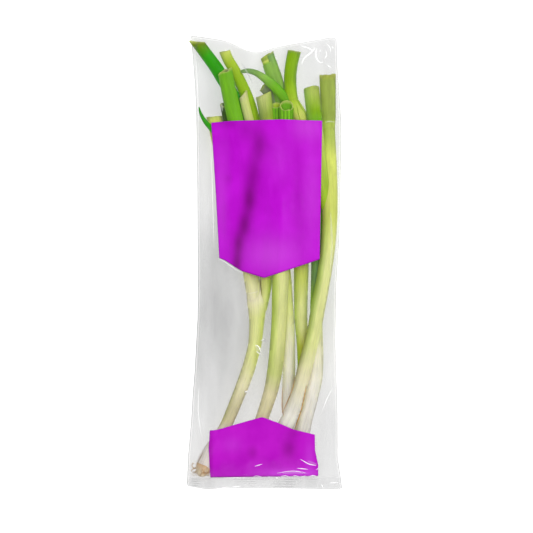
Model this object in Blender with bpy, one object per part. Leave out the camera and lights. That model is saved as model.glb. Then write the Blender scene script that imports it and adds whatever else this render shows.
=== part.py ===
"""Six spring onions in a clear film bag with two printed label panels, lying on its back.

Units are metres. +X is across the bag, +Y runs from the roots to the open mouth and +Z is up.
The origin is on the surface that the bag lies on, under the middle of its outline.
"""
import math

import bmesh
import bpy
import numpy as np

MM = 0.001

# Driving dimensions of the bag
BAG_WIDTH = 125.0 * MM
BAG_LENGTH = 363.6 * MM
FILM_WALL = 0.8 * MM
SEAL_LENGTH = 10.0 * MM
FOLD_HEIGHT = 3.0 * MM
FOLD_REACH = 6.0 * MM
FOLD_GAP = 0.3 * FILM_WALL
MOUTH_REACH = 60.0 * MM
CLEARANCE = 0.4 * MM
PANEL_GAP = 0.35 * MM
PANEL_THICKNESS = 0.6 * MM

# Driving dimensions of the onions: a stem is nearly round and a leaf is flatter
STEM_FLATNESS = 0.94
LEAF_FLATNESS = 0.72
TALLEST_HALF = 6.2 * MM
SHOULDER = 4.0 * MM
LEAF_WALL = 1.1 * MM
LEAF_HOLLOW = 9.0 * MM
HOLLOW_END = 2.0 * MM
THIN_LEAF = 2.0 * MM
ROOT_COUNT = 8
ROOT_RADIUS = 0.45 * MM
ROOT_LENGTH = (3.0 * MM, 6.0 * MM)
ROOT_SPREAD = {"onion_1": 7.5 * MM, "onion_2": 5.0 * MM, "onion_5": 5.0 * MM, "onion_6": 5.0 * MM,
               "onion_3": 3.0 * MM, "onion_4": 3.0 * MM}
ROOT_DEPTH = 2.6 * MM
ROOT_DISC = 1.6 * MM
ROOT_REST = 4.8 * MM
ROOT_END = 2.0 * MM

# How fine the meshes are
STEM_STEP = 11 * MM
LEAF_STEP = 14 * MM
CONTACT_STEP = 2 * MM
STEM_SIDES = 10
LEAF_SIDES = 8
EDGE_STEPS = (0.0, 1.2, 3.2, 6.2)
SEAL_STEPS = (0.0, 3.0, 7.0, 12.5)
EVEN_COLUMNS = 20
EVEN_ROWS = 25
SETTLING_TURNS = 90
SMOOTH_ANGLE = math.radians(50)

# Each route is chosen by hand: x, y and half width in millimetres, from the root end upwards
STEMS = {
    "onion_3": [(18.7, -122.8, 3.4), (18.9, -117.4, 4.9), (19.2, -106, 5.2), (19.4, -94, 5.1),
                (19.6, -74, 5.0), (19, -50, 5.0), (17, -20.4, 5.1), (13.2, 10, 5.6), (8.4, 34, 6.1)],
    "onion_4": [(29.2, -98.8, 3.8), (29.8, -93.2, 5.2), (31, -83.6, 4.9), (30.6, -64.4, 4.9),
                (29.2, -46, 5.1), (29.2, -22, 5.6), (29.4, 0.4, 6.0), (28.4, 22, 6.1)],
    "onion_6": [(26.4, -160.4, 4.6), (26.9, -154, 6.6), (28.6, -142.8, 6.6), (31.9, -126.8, 6.2),
                (36.7, -110, 5.8), (40.2, -94, 5.9), (41.5, -74, 5.6), (41.4, -54, 5.0), (41.7, -34.8, 5.1),
                (42.4, -14, 5.3), (42.8, 10, 5.6), (41.2, 38, 5.9), (37.6, 66, 6.2), (34, 90, 6.5),
                (29.4, 114, 6.6), (23.2, 126.8, 5.4)],
    "onion_1": [(-48.8, -166, 5.0), (-47.8, -163, 6.6), (-46.4, -159.6, 7.3), (-44.7, -155.2, 6.8),
                (-42.9, -150.7, 5.9), (-40.3, -146, 5.2), (-31.6, -131.6, 4.8), (-22.2, -110, 5.0),
                (-12.4, -83.6, 5.3), (-7.6, -64.2, 5.4), (-6.4, -49.6, 5.9), (-6.1, -39.9, 6.9),
                (-6.2, -30, 8.1), (-5.4, -22, 8.8)],
    "onion_2": [(-13.2, -160.4, 5.0), (-12, -154.8, 7.2), (-8.8, -145.2, 6.4), (-5, -134, 5.4),
                (-1.4, -122.8, 5.2), (5.1, -102.8, 5.7), (8.6, -83.6, 6.1), (10.6, -64.4, 6.2),
                (11.8, -44.4, 6.2), (12.6, -20.4, 6.5), (13.6, 6, 6.7), (14, 38, 7.0), (14.2, 66, 7.4)],
    "onion_5": [(6, -160.4, 4.8), (7.2, -154.8, 7.4), (10.9, -144.4, 7.2), (17.6, -129.2, 6.6),
                (22.8, -118, 5.9), (26.5, -106, 5.5), (30.9, -90.4, 5.8), (35, -74, 5.7), (39.6, -54, 5.5),
                (42.9, -34.8, 5.8), (47, -14, 5.6), (50.4, 10, 5.8), (52.1, 34, 6.0), (52.2, 58, 6.2),
                (51.8, 82, 5.8), (51.4, 102, 5.3), (51.3, 109.2, 5.2)],
}
LEAVES = {
    "onion_3": [
        [(10.8, 24.4, 3.5), (4.4, 58, 4.9), (-2.8, 90, 5.2), (-8.8, 114.5, 5.3), (-14, 131.9, 5.0),
         (-22.2, 150.4, 4.6), (-28.8, 162, 4.4), (-31.8, 169.2, 4.4)],
        [(9.2, 22, 3.5), (-0.4, 58, 4.7), (-11.6, 94, 5.0), (-18.8, 118, 5.2), (-26.8, 136.4, 5.3),
         (-33.2, 146.8, 5.3), (-38.2, 155.2, 5.3), (-45.2, 164.9, 5.0), (-52, 174, 4.8)],
        [(1.2, 70, 2.0), (-5.2, 94, 3.0), (-12.1, 113.6, 3.7), (-16.3, 130.4, 3.6), (-17, 134.6, 3.5)],
    ],
    "onion_4": [
        [(28.4, 14, 3.5), (26.8, 46, 4.8), (22.8, 78, 5.0), (17.6, 110, 5.3), (13.2, 130, 5.6),
         (9, 145.5, 5.8), (5.5, 155.2, 6.0), (1.8, 166, 6.0)],
        [(22, 82, 2.6), (18, 107, 3.6), (12.2, 123.6, 4.1), (5.4, 134, 4.4), (-1.2, 141.4, 4.4)],
    ],
    "onion_6": [
        [(26, 118, 4.2), (21.6, 132.4, 5.0), (20.6, 146, 5.0), (21.6, 158, 5.0), (24, 169.2, 5.2)],
        [(22, 123.6, 2.8), (16.4, 130.8, 3.5), (10.8, 138, 3.9), (4.4, 143.8, 3.7), (-2, 148.8, 3.0),
         (-7.8, 152.1, 2.4), (-14, 153.4, 1.9), (-18.2, 152.8, 1.3)],
    ],
    "onion_1": [
        [(-13, 2, 3.0), (-17.6, 38, 4.0), (-23.6, 82, 4.2), (-28.4, 110, 4.2), (-31.2, 126.4, 4.2)],
        [(-7.8, -38, 3.6), (-8.8, -24, 5.9), (-10.3, -12.4, 6.3), (-17.2, 22, 5.8),
         (-26.8, 62, 6.0), (-36.4, 98.8, 6.2), (-40.2, 116, 6.3)],
        [(-31, 88, 1.5), (-38, 100.6, 1.9), (-42.8, 107.2, 2.0), (-46.8, 111.9, 1.8), (-50.5, 118, 1.3),
         (-52.6, 124, 0.7)],
        [(-1.6, -38, 3.4), (0.9, -24, 4.0), (1.6, -12.4, 4.9), (-2.2, 18, 5.6),
         (-10, 54, 5.8), (-17.2, 90, 6.0), (-23.2, 114.5, 6.2), (-27.3, 131.9, 6.1), (-31.4, 152.4, 6.0)],
    ],
    "onion_2": [
        [(10.8, 58, 3.2), (10, 90, 3.9), (9.5, 112, 4.0), (9.4, 125.8, 4.0)],
        [(16.4, 58, 4.2), (17.2, 90, 4.9), (17.5, 112, 5.2), (17.6, 125.6, 5.4)],
        [(12, 30, 3.0), (9, 58, 4.6), (4.4, 90, 5.0), (2, 114, 5.6), (-0.9, 134.4, 6.4)],
    ],
    "onion_5": [
        [(50, 38, 3.5), (46, 66, 5.2), (42.4, 94, 5.6), (39.6, 118, 6.0), (37.6, 139.2, 6.3)],
        [(51.3, 98, 4.0), (51.1, 114, 5.9), (50.8, 130, 6.3), (50.6, 150.2, 6.5)],
    ],
}
# The number of the leaf that lies on the other leaves of its own onion, where there is one
LYING_ON_OWN = {"onion_3": 3, "onion_1": 3}
# Where a stem flattens into its leaves: from and to in mm along the bag, and the share of height left
NECKS = {"onion_1": (-52, -22, 0.4)}

# The bag's outline, by hand: the side folds as y, x and the two ends as x, y, in millimetres
LEFT_FOLD = [(-181.8, -62.5), (-156, -61.5), (-127, -59), (-104, -57.6), (-88, -56.2), (-45, -53.8),
             (-23, -53.5), (60, -54), (116, -54.8), (141, -55.8), (181.8, -59)]
RIGHT_FOLD = [(-181.8, 62.5), (-170, 61.1), (-156, 58.8), (-123, 58.8), (-90, 57.8), (-64, 57.0),
              (-20, 57.6), (19, 60.2), (98, 61.9), (116, 61.6), (155, 58.8), (181.8, 58)]
MOUTH = [(-62, 181.8), (-58, 181.8), (-50, 180.9), (-35.5, 178.6), (-28.6, 176.9), (-20.7, 173),
         (-13.8, 169.7), (-6.9, 168.5), (-1.7, 169.2), (6.2, 171.8), (19.2, 174.5), (36.6, 177.5),
         (51.3, 180.3), (55.5, 180.6), (58, 178.6)]
SEALED_END = [(-62.5, -177.6), (-61.2, -179.4), (-54.6, -180.4), (-46.8, -181.8), (-40.7, -181.6),
              (-32.9, -180.5), (-19, -180.8), (19.2, -181.2), (53.8, -181.8), (61.7, -181.4), (62.5, -180)]

# The label panels' outlines, by hand, in millimetres
UPPER_PANEL = [(-42.6, 111.7), (-29.4, 113), (1.8, 113.9), (14, 114.3), (27.8, 113.7), (46.1, 113.2),
               (45.1, 59), (44, 2.4), (-0.3, -12.4), (-11.2, -9.1), (-18.2, -6.9), (-22.5, -4.3),
               (-31.5, 1.6), (-36.2, 3.5), (-39.2, 59)]
LOWER_PANEL = [(-43.8, -134.4), (-37, -133.6), (-19.6, -128.4), (-1.9, -123.4), (10.5, -127.8),
               (23.5, -133.4), (40.3, -137.6), (40.4, -150), (43, -162), (43, -171), (-43.4, -172.2),
               (-44.6, -148.3)]

# Base colour, roughness and alpha of each kind of piece
FINISHES = {
    "onion": ((0.50, 0.60, 0.16, 1.0), 0.45, 1.0),
    "roots": ((0.62, 0.44, 0.25, 1.0), 0.80, 1.0),
    "film": ((0.86, 0.87, 0.87, 1.0), 0.15, 0.3),
    "label": ((0.52, 0.02, 0.60, 1.0), 0.25, 1.0),
}


def clear_scene():
    for obj in list(bpy.data.objects):
        bpy.data.objects.remove(obj, do_unlink=True)


def collection(name, shown=True):
    made = bpy.data.collections.new(name)
    made.hide_render = not shown
    bpy.context.scene.collection.children.link(made)
    return made


def material(name):
    """The Principled material of one kind of piece."""
    if name in bpy.data.materials:
        return bpy.data.materials[name]
    colour, roughness, alpha = FINISHES[name]
    made = bpy.data.materials.new(name)
    made.use_nodes = True
    shader = made.node_tree.nodes["Principled BSDF"]
    shader.inputs["Base Color"].default_value = colour
    shader.inputs["Roughness"].default_value = roughness
    shader.inputs["Metallic"].default_value = 0.0
    shader.inputs["Alpha"].default_value = alpha
    made.diffuse_color = (*colour[:3], alpha)
    return made


def finished(mesh, finish):
    """Give a mesh its material and smooth shading."""
    mesh.materials.clear()
    mesh.materials.append(material(finish))
    mesh.shade_smooth()
    mesh.set_sharp_from_angle(angle=SMOOTH_ANGLE)
    return mesh


def mesh_object(name, points, faces, finish, where):
    mesh = bpy.data.meshes.new(name)
    mesh.from_pydata([tuple(p) for p in points], [], faces)
    obj = bpy.data.objects.new(name, finished(mesh, finish))
    where.objects.link(obj)
    return obj


def turned_outwards(mesh, merge=0.0):
    """Point a closed mesh's faces outwards, after merging the points that lie together."""
    work = bmesh.new()
    work.from_mesh(mesh)
    if merge:
        bmesh.ops.remove_doubles(work, verts=work.verts, dist=merge)
    bmesh.ops.recalc_face_normals(work, faces=work.faces)
    work.to_mesh(mesh)
    work.free()


def mesh_from_curve(name, data, finish, where):
    """A closed mesh object from curve data whose caps are filled."""
    curve = bpy.data.objects.new(name + "_curve", data)
    where.objects.link(curve)
    graph = bpy.context.evaluated_depsgraph_get()
    mesh = bpy.data.meshes.new_from_object(curve.evaluated_get(graph))
    bpy.data.objects.remove(curve, do_unlink=True)
    turned_outwards(mesh, merge=0.01 * MM)
    obj = bpy.data.objects.new(name, finished(mesh, finish))
    where.objects.link(obj)
    return obj


def along_table(table, at):
    """Read a table of pairs in millimetres at places in metres."""
    table = np.array(table) * MM
    return np.interp(at, table[:, 0], table[:, 1])


def smooth_route(points, step):
    """Points every step or so along a Catmull-Rom curve through the hand-chosen ones."""
    p = np.array(points, float)
    p = np.vstack([2 * p[0] - p[1], p, 2 * p[-1] - p[-2]])
    found = []
    for a, b, c, d in zip(p[:-3], p[1:-2], p[2:-1], p[3:]):
        count = max(1, round(np.linalg.norm((c - b)[:2]) / step))
        t = np.arange(count)[:, None] / count
        found.append(0.5 * (2 * b + (c - a) * t + (2 * a - 5 * b + 4 * c - d) * t**2
                            + (3 * b - a - 3 * c + d) * t**3))
    return np.vstack([*found, p[-2]])


def near_fold(distance):
    """How far the bottom film has turned up: not at all at FOLD_REACH from its fold, wholly at the fold."""
    near = np.clip(1 - distance / FOLD_REACH, 0, 1)
    return near**2 * (3 - 2 * near)


def resting_height(route, half, placed):
    """The centre height at which each point of a tube clears the film and what was placed before it."""
    x, y = route[:, 0], route[:, 1]
    distance = np.minimum(x - along_table(LEFT_FOLD, y), along_table(RIGHT_FOLD, y) - x)
    distance -= FILM_WALL + 0.4 * route[:, 2]
    height = FILM_WALL + CLEARANCE + half + FOLD_HEIGHT * near_fold(distance)
    if len(placed):
        apart = np.linalg.norm(route[:, None, :2] - placed[None, :, :2], axis=2)
        reach = route[:, 2][:, None] + placed[:, 3][None] + CLEARANCE
        inside = np.clip(1 - (apart / reach) ** 2, 0, None)
        lift = placed[:, 2][None] + np.sqrt(inside) * (half[:, None] + placed[:, 4][None] + 2 * CLEARANCE)
        lift = np.where(inside > 0, lift, 0)
        height = np.maximum(height, lift.max(axis=1))
    return height


def relaxed(height, held=None):
    """A stiff stem's height: it bridges from one support to the next, and never sinks into one."""
    z = height.copy()
    for _ in range(SETTLING_TURNS):
        ends = np.concatenate([[2 * z[0] - z[1]], z, [2 * z[-1] - z[-2]]])
        z = np.maximum(height, 0.25 * ends[:-2] + 0.5 * ends[1:-1] + 0.25 * ends[2:])
        if held is not None:
            z[0] = held
    return z


def with_height(route, flatness, placed, held=None):
    """Rows of x, y, z, half width and half height along one tube."""
    half = np.minimum(flatness * route[:, 2], TALLEST_HALF)
    z = relaxed(resting_height(route, half, placed), held)
    return np.column_stack([route[:, :2], z, route[:, 2], half])


def dense(tube):
    """The same tube with rows close enough together to stand for its surface."""
    length = np.concatenate([[0], np.cumsum(np.linalg.norm(np.diff(tube[:, :3], axis=0), axis=1))])
    at = np.linspace(0, length[-1], max(2, int(length[-1] / CONTACT_STEP)))
    return np.column_stack([np.interp(at, length, tube[:, k]) for k in range(tube.shape[1])])


def frames(path):
    """Side and up directions square to a path, with the side kept level."""
    along = np.gradient(path, axis=0)
    along /= np.linalg.norm(along, axis=1)[:, None]
    side = np.cross(along, [0, 0, 1.0])
    side /= np.linalg.norm(side, axis=1)[:, None]
    return along, side, np.cross(side, along)


def ring_faces(rows, sides):
    """Quads between rows of a loft, whose rings run anticlockwise as seen from its far end."""
    faces = []
    for r in range(rows - 1):
        for k in range(sides):
            a, b = r * sides + k, r * sides + (k + 1) % sides
            faces.append((a, b, b + sides, a + sides))
    return faces


def halves(quad, swapped=False):
    """A quad as two triangles, split from its first corner or from its second."""
    a, b, c, d = quad
    return [(a, b, d), (b, c, d)] if swapped else [(a, b, c), (a, c, d)]


def tube_mesh(tube, sides, end_kind):
    """A closed tube of oval sections. Its far end is plain, a round shoulder or a cut leaf's open end."""
    along, side, up = frames(tube[:, :3])
    turn = np.linspace(0, 2 * np.pi, sides, endpoint=False)

    def ring(row, forward=0.0, inset=0.0, scale=1.0):
        centre = tube[row, :3] + along[row] * forward
        across = np.outer(np.cos(turn), side[row]) * (tube[row, 3] * scale - inset)
        tall = np.outer(np.sin(turn), -up[row]) * (tube[row, 4] * scale - inset)
        return centre + across + tall

    rings = [ring(row) for row in range(len(tube))]
    if end_kind == "shoulder":
        rings += [ring(-1, SHOULDER * 0.55, scale=0.9), ring(-1, SHOULDER, scale=0.62)]
    if end_kind == "hollow":
        rings += [ring(-1, inset=LEAF_WALL), ring(-1, -LEAF_HOLLOW, inset=LEAF_WALL),
                  ring(-1, -LEAF_HOLLOW - HOLLOW_END, inset=1.8 * LEAF_WALL)]
    faces = ring_faces(len(rings), sides)
    faces.append(tuple(range(sides))[::-1])
    faces.append(tuple(range((len(rings) - 1) * sides, len(rings) * sides)))
    return np.vstack(rings), faces


def union(name, pieces, finish, where):
    """One body from overlapping closed pieces, by a Boolean union with a collection of the rest."""
    base, rest = pieces[0], pieces[1:]
    joined = collection(name + "_joined", shown=False)
    for piece in rest:
        where.objects.unlink(piece)
        joined.objects.link(piece)
    modifier = base.modifiers.new("union", "BOOLEAN")
    modifier.operation = "UNION"
    modifier.operand_type = "COLLECTION"
    modifier.collection = joined
    modifier.solver = "EXACT"
    graph = bpy.context.evaluated_depsgraph_get()
    mesh = bpy.data.meshes.new_from_object(base.evaluated_get(graph))
    base.modifiers.clear()
    base.data = mesh
    for piece in rest:
        bpy.data.objects.remove(piece, do_unlink=True)
    bpy.data.collections.remove(joined)
    base.name = name
    finished(base.data, finish)
    return base


def lay_out():
    """Every tube of every onion with its height, each onion laid on the ones before it."""
    placed = np.zeros((0, 5))
    plants = {}
    for name, points in STEMS.items():
        route = smooth_route(np.array(points) * MM, STEM_STEP)
        first, last, share = NECKS.get(name, (0, 1, 1.0))
        flatness = STEM_FLATNESS * np.interp(route[:, 1], [first * MM, last * MM], [1.0, share])
        stem = with_height(route, flatness, placed)
        tubes = [stem]
        own = [dense(stem), dense(root_space(name, stem))]
        for number, points in enumerate(LEAVES[name], start=1):
            route = smooth_route(np.array(points) * MM, LEAF_STEP)
            start = np.vstack(own)
            nearest = start[np.argmin(np.linalg.norm(start[:, :2] - route[0, :2], axis=1))]
            below = np.vstack([placed, *own]) if LYING_ON_OWN.get(name) == number else placed
            leaf = with_height(route, LEAF_FLATNESS, below, held=nearest[2])
            tubes.append(leaf)
            own.append(dense(leaf))
        placed = np.vstack([placed, *own])
        plants[name] = tubes
    return plants, placed


def root_space(name, stem):
    """A short row past the root end, as wide as the spread of the roots."""
    away = stem[0, :3] - stem[1, :3]
    away /= np.linalg.norm(away)
    tip = stem[0].copy()
    tip[:3] += away * ROOT_LENGTH[1]
    tip[1] = max(tip[1], ROOT_END - BAG_LENGTH / 2 + SEAL_LENGTH)
    tip[2:] = ROOT_REST, ROOT_SPREAD[name], ROOT_DEPTH
    return np.vstack([tip, stem[0]])


def make_onion(name, tubes, where):
    """Bulb, shank and leaves, grown as one piece."""
    pieces = []
    for number, tube in enumerate(tubes):
        leaf = number > 0
        cut = "hollow" if tube[-1, 3] > THIN_LEAF else "plain"
        points, faces = tube_mesh(tube, LEAF_SIDES if leaf else STEM_SIDES, cut if leaf else "shoulder")
        pieces.append(mesh_object(f"{name}_{number}", points, faces, "onion", where))
    return union(name, pieces, "onion", where)


def root_strand(start, away, side, up, turn, spread, length):
    """Points along one root: it fans out from near the disc's middle and levels out inside the film."""
    t = np.linspace(0, 1, 4)[:, None]
    fan = side * math.cos(turn) * spread + up * math.sin(turn) * ROOT_DEPTH * spread / ROOT_SPREAD["onion_1"]
    first = (side * math.cos(turn) + up * math.sin(turn)) * 2.4 * ROOT_RADIUS
    points = start + first + away * length * t + fan * t**1.5
    points[:, 2] += (ROOT_REST - points[:, 2]) * t[:, 0] ** 2 * 0.8
    past_seal = np.maximum(points[:, 1] + BAG_LENGTH / 2 - SEAL_LENGTH, ROOT_END)
    points[:, 1] = past_seal - BAG_LENGTH / 2 + SEAL_LENGTH
    film_rise = FOLD_HEIGHT * np.clip(1 - past_seal / (SEAL_STEPS[2] * MM), 0, 1)
    points[:, 2] = np.maximum(points[:, 2], FILM_WALL + CLEARANCE + ROOT_RADIUS + film_rise)
    return points


def root_tube(name, points, where):
    """A thin closed tube along points, a little thinner at its tip."""
    data = bpy.data.curves.new(name, "CURVE")
    data.dimensions = "3D"
    data.bevel_depth = ROOT_RADIUS
    data.bevel_resolution = 0
    data.use_fill_caps = True
    spline = data.splines.new("POLY")
    spline.points.add(len(points) - 1)
    for number, point in enumerate(points):
        spline.points[number].co = (*point, 1)
        spline.points[number].radius = 1.0 - 0.35 * number / (len(points) - 1)
    return mesh_from_curve(name, data, "roots", where)


def make_roots(name, stem, draw, where):
    """The root plate under the bulb with its trimmed roots, in their own colour."""
    along, side, up = frames(stem[:, :3])
    away, side, up = -along[0], side[0], up[0]
    plate = np.array([[*(stem[0, :3] + away * d), r * stem[0, 3], r * stem[0, 4]]
                      for d, r in ((CLEARANCE, 0.92), (ROOT_DISC * 0.6, 0.85), (ROOT_DISC, 0.5))])
    points, faces = tube_mesh(plate, LEAF_SIDES, "plain")
    pieces = [mesh_object(f"{name}_roots_plate", points, faces, "roots", where)]
    start = stem[0, :3] + away * ROOT_DISC * 0.55
    for number in range(ROOT_COUNT):
        turn = 2 * math.pi * (number + 0.4 * draw.random()) / ROOT_COUNT
        spread, length = ROOT_SPREAD[name] * draw.uniform(0.5, 1), draw.uniform(*ROOT_LENGTH)
        strand = root_strand(start, away, side, up, turn, spread, length)
        pieces.append(root_tube(f"{name}_root_{number}", strand, where))
    return union(name + "_roots", pieces, "roots", where)


def film_rows():
    """How far along the bag each row of the film lies, from the seal's inner edge to the mouth."""
    first = np.array(SEAL_STEPS) * MM
    return np.concatenate([first, np.linspace(first[-1], BAG_LENGTH - SEAL_LENGTH, EVEN_ROWS + 1)[1:]])


def film_plan(rows, even, inset=0.0):
    """Plan positions of the film: rows of y, crossed by columns from fold to fold."""
    steps = np.array(EDGE_STEPS) * MM
    y = (rows - BAG_LENGTH / 2 + SEAL_LENGTH)[:, None]
    left, right = along_table(LEFT_FOLD, y) + inset, along_table(RIGHT_FOLD, y) - inset
    share = np.linspace(0, 1, even + 1)[1:-1]
    middle = left + steps[-1] + (right - left - 2 * steps[-1]) * share
    x = np.hstack([left + steps, middle, right - steps[::-1]])
    y = np.broadcast_to(y, x.shape).copy()
    near_mouth = np.clip(1 - (BAG_LENGTH / 2 - y) / MOUTH_REACH, 0, 1) ** 2
    near_seal = np.clip(-(y + BAG_LENGTH / 2 - SEAL_LENGTH) / SEAL_LENGTH, 0, 1)
    y += near_mouth * (along_table(MOUTH, x) - BAG_LENGTH / 2)
    y += near_seal * (along_table(SEALED_END, x) + BAG_LENGTH / 2)
    return x, y


def wider_gap(values):
    """The wider of the two gaps beside each column of a grid."""
    gap = np.pad(np.abs(np.diff(values, axis=1)), ((0, 0), (1, 1)), mode="edge")
    return np.maximum(gap[:, 1:], gap[:, :-1])


def tops_under(x, y, tubes):
    """The highest content near each place of the film, read as far as the neighbouring grid lines."""
    highest = np.zeros(x.shape)
    reach_x, reach_y = wider_gap(x), wider_gap(y.T).T
    for cx, cy, cz, wide, tall in tubes:
        dx = np.clip(np.abs(x - cx) - reach_x, 0, None)
        dy = np.clip(np.abs(y - cy) - reach_y, 0, None)
        inside = 1 - (dx**2 + dy**2) / (wide + CLEARANCE) ** 2
        top = cz + np.sqrt(np.clip(inside, 0, None)) * (tall + CLEARANCE)
        highest = np.where(inside > 0, np.maximum(highest, top), highest)
    return highest


def draped(x, y, tubes, fold):
    """The film's height over what it covers: it spans the hollows and comes down to folds and seal."""
    need = np.maximum(tops_under(x, y, tubes) + CLEARANCE, fold)
    left, right = np.diff(x, axis=1)[:, :-1], np.diff(x, axis=1)[:, 1:]
    down, up = np.diff(y, axis=0)[:-1], np.diff(y, axis=0)[1:]
    z = need.copy()
    for _ in range(SETTLING_TURNS):
        z[:, 0] = z[:, -1] = z[0] = fold
        across = (z[:, :-2] / left + z[:, 2:] / right) / (1 / left + 1 / right)
        along = (z[:-2] / down + z[2:] / up) / (1 / down + 1 / up)
        z[1:-1, 1:-1] = np.maximum(need[1:-1, 1:-1], 0.7 * across[1:-1] + 0.3 * along[:, 1:-1])
        z[-1, 1:-1] = np.maximum(need[-1, 1:-1], across[-1])
    z[:, 0] = z[:, -1] = z[0] = fold
    return z


def underside(x, y):
    """Bottom of the film: flat on the surface, turned up to meet the side folds and the seal."""
    side = np.minimum(x - x[:, :1], x[:, -1:] - x)
    end = y + BAG_LENGTH / 2 - SEAL_LENGTH
    return FOLD_HEIGHT * near_fold(np.minimum(side, end))


def end_faces(lower, upper, x):
    """Triangles closing one end between its lower row of points and its upper row, read by their x."""
    faces, a, b = [], 0, 0
    while a < len(lower) - 1 or b < len(upper) - 1:
        step_lower = b == len(upper) - 1 or (a < len(lower) - 1 and x[lower[a + 1]] <= x[upper[b + 1]])
        if step_lower:
            faces.append((lower[a], upper[b], lower[a + 1]))
            a += 1
        else:
            faces.append((lower[a], upper[b], upper[b + 1]))
            b += 1
    return faces


def film_walls(tubes):
    """Top and bottom of the film, outside and inside, as grids of x, y and z."""
    rows, inset = film_rows(), 1.2 * FILM_WALL
    fold_middle = FOLD_HEIGHT + 0.75 * FILM_WALL
    top_x, top_y = film_plan(rows, EVEN_COLUMNS)
    in_top_x, in_top_y = film_plan(rows, EVEN_COLUMNS, inset)
    in_top = draped(in_top_x, in_top_y, tubes, fold_middle + FOLD_GAP / 2)
    top = in_top + FILM_WALL
    top[:, 0] = top[:, -1] = top[0] = FOLD_HEIGHT + 1.5 * FILM_WALL
    low_x, low_y = film_plan(rows, 1)
    low = underside(low_x, low_y)
    in_low_x, in_low_y = film_plan(rows, 1, inset)
    in_low = low + FILM_WALL
    in_low[:, 0] = in_low[:, -1] = in_low[0] = fold_middle - FOLD_GAP / 2
    in_top_y[0] += inset
    in_low_y[0] += inset
    outside = (top_x, top_y, top), (low_x, low_y, low)
    inside = (in_top_x, in_top_y, in_top), (in_low_x, in_low_y, in_low)
    return outside + inside


def section(bottom, top, row):
    """One closed section of the film, out along its bottom and back along its top."""
    return np.vstack([np.column_stack([grid[row] for grid in bottom]),
                      np.column_stack([grid[row] for grid in top])[::-1]])


def sealed_edge(bottom, top):
    """The cut edge past the seal, where both sides of the film lie together."""
    past = np.array([-SEAL_LENGTH])
    edges = []
    for even, grid in ((1, bottom), (EVEN_COLUMNS, top)):
        x, y = film_plan(past, even)
        edges.append((x, y, grid[2][:1]))
    return section(*edges, 0)


def make_film(tubes, where):
    """The bag: a flattened film tube, open at the mouth and welded in a flat seal at the root end."""
    top, low, in_top, in_low = film_walls(tubes)
    rows = range(len(top[2]))
    sections = [sealed_edge(low, top)]
    sections += [section(low, top, row) for row in rows]
    sections += [section(in_low, in_top, row) for row in reversed(rows)]
    points = np.vstack(sections)
    under, over = low[0].shape[1], top[0].shape[1]
    sides = under + over
    faces = []
    for number, quad in enumerate(ring_faces(len(sections), sides)):
        faces += halves(quad, swapped=number % sides >= under)
    for first, flip in ((0, 1), ((len(sections) - 1) * sides, -1)):
        lower = [first + k for k in range(under)]
        upper = [first + sides - 1 - k for k in range(over)]
        faces += [face[::flip] for face in end_faces(lower, upper, points[:, 0])]
    film = mesh_object("film_bag", points, faces, "film", where)
    turned_outwards(film.data)
    return top


def make_panel(name, outline, film_top, where):
    """A printed panel: a thin slab over the film's top, cut to the panel's outline."""
    x, y, z = film_top
    rows, columns = x.shape
    sheet = np.column_stack([x.ravel(), y.ravel(), z.ravel() + PANEL_GAP])
    lid = len(sheet)
    faces = []
    for row in range(rows - 1):
        for column in range(columns - 1):
            a = row * columns + column
            for half in halves((a, a + 1, a + 1 + columns, a + columns)):
                faces.append(tuple(point + lid for point in half))
                faces.append(half[::-1])
    numbers = np.arange(lid).reshape(rows, columns)
    rim = [*numbers[0, :-1], *numbers[:-1, -1], *numbers[-1, :0:-1], *numbers[:0:-1, 0]]
    faces += [(a, b, b + lid, a + lid) for a, b in zip(rim, rim[1:] + rim[:1])]
    panel = mesh_object(name, np.vstack([sheet, sheet + [0, 0, PANEL_THICKNESS]]), faces, "label", where)
    modifier = panel.modifiers.new("outline", "BOOLEAN")
    modifier.operation = "INTERSECT"
    modifier.object = outline_prism(name + "_cutter", outline)
    modifier.solver = "EXACT"


def outline_prism(name, outline):
    """A flat outline made tall enough to cut right through the film's height."""
    data = bpy.data.curves.new(name, "CURVE")
    data.dimensions = "2D"
    data.fill_mode = "BOTH"
    data.extrude = BAG_WIDTH / 2
    spline = data.splines.new("POLY")
    spline.points.add(len(outline) - 1)
    for point, (x, y) in zip(spline.points, outline):
        point.co = (x * MM, y * MM, 0, 1)
    spline.use_cyclic_u = True
    prism = mesh_from_curve(name, data, "label", collection(name + "s", shown=False))
    prism.hide_render = True
    prism.display_type = "WIRE"
    return prism


def main():
    clear_scene()
    parts = collection("spring_onion_bunch")
    plants, placed = lay_out()
    draw = np.random.default_rng(6)
    for name, tubes in plants.items():
        make_onion(name, tubes, parts)
        make_roots(name, tubes[0], draw, parts)
    film_top = make_film(placed, parts)
    make_panel("label_upper", UPPER_PANEL, film_top, parts)
    make_panel("label_lower", LOWER_PANEL, film_top, parts)


main()
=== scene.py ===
# %% [markdown]
# Spring onions in a clear film bag.
# The bunch lies on its back and is seen from straight above. Six onions lie loosely crossed in a long
# bag of thin clear film, which is sealed at the root end and open at the leaf end. Two purple panels
# are printed on the film. The lesson builds the onions first, then their roots, then the film over
# them, then the print on the film, and last the floor, the light and the camera.

import math

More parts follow.
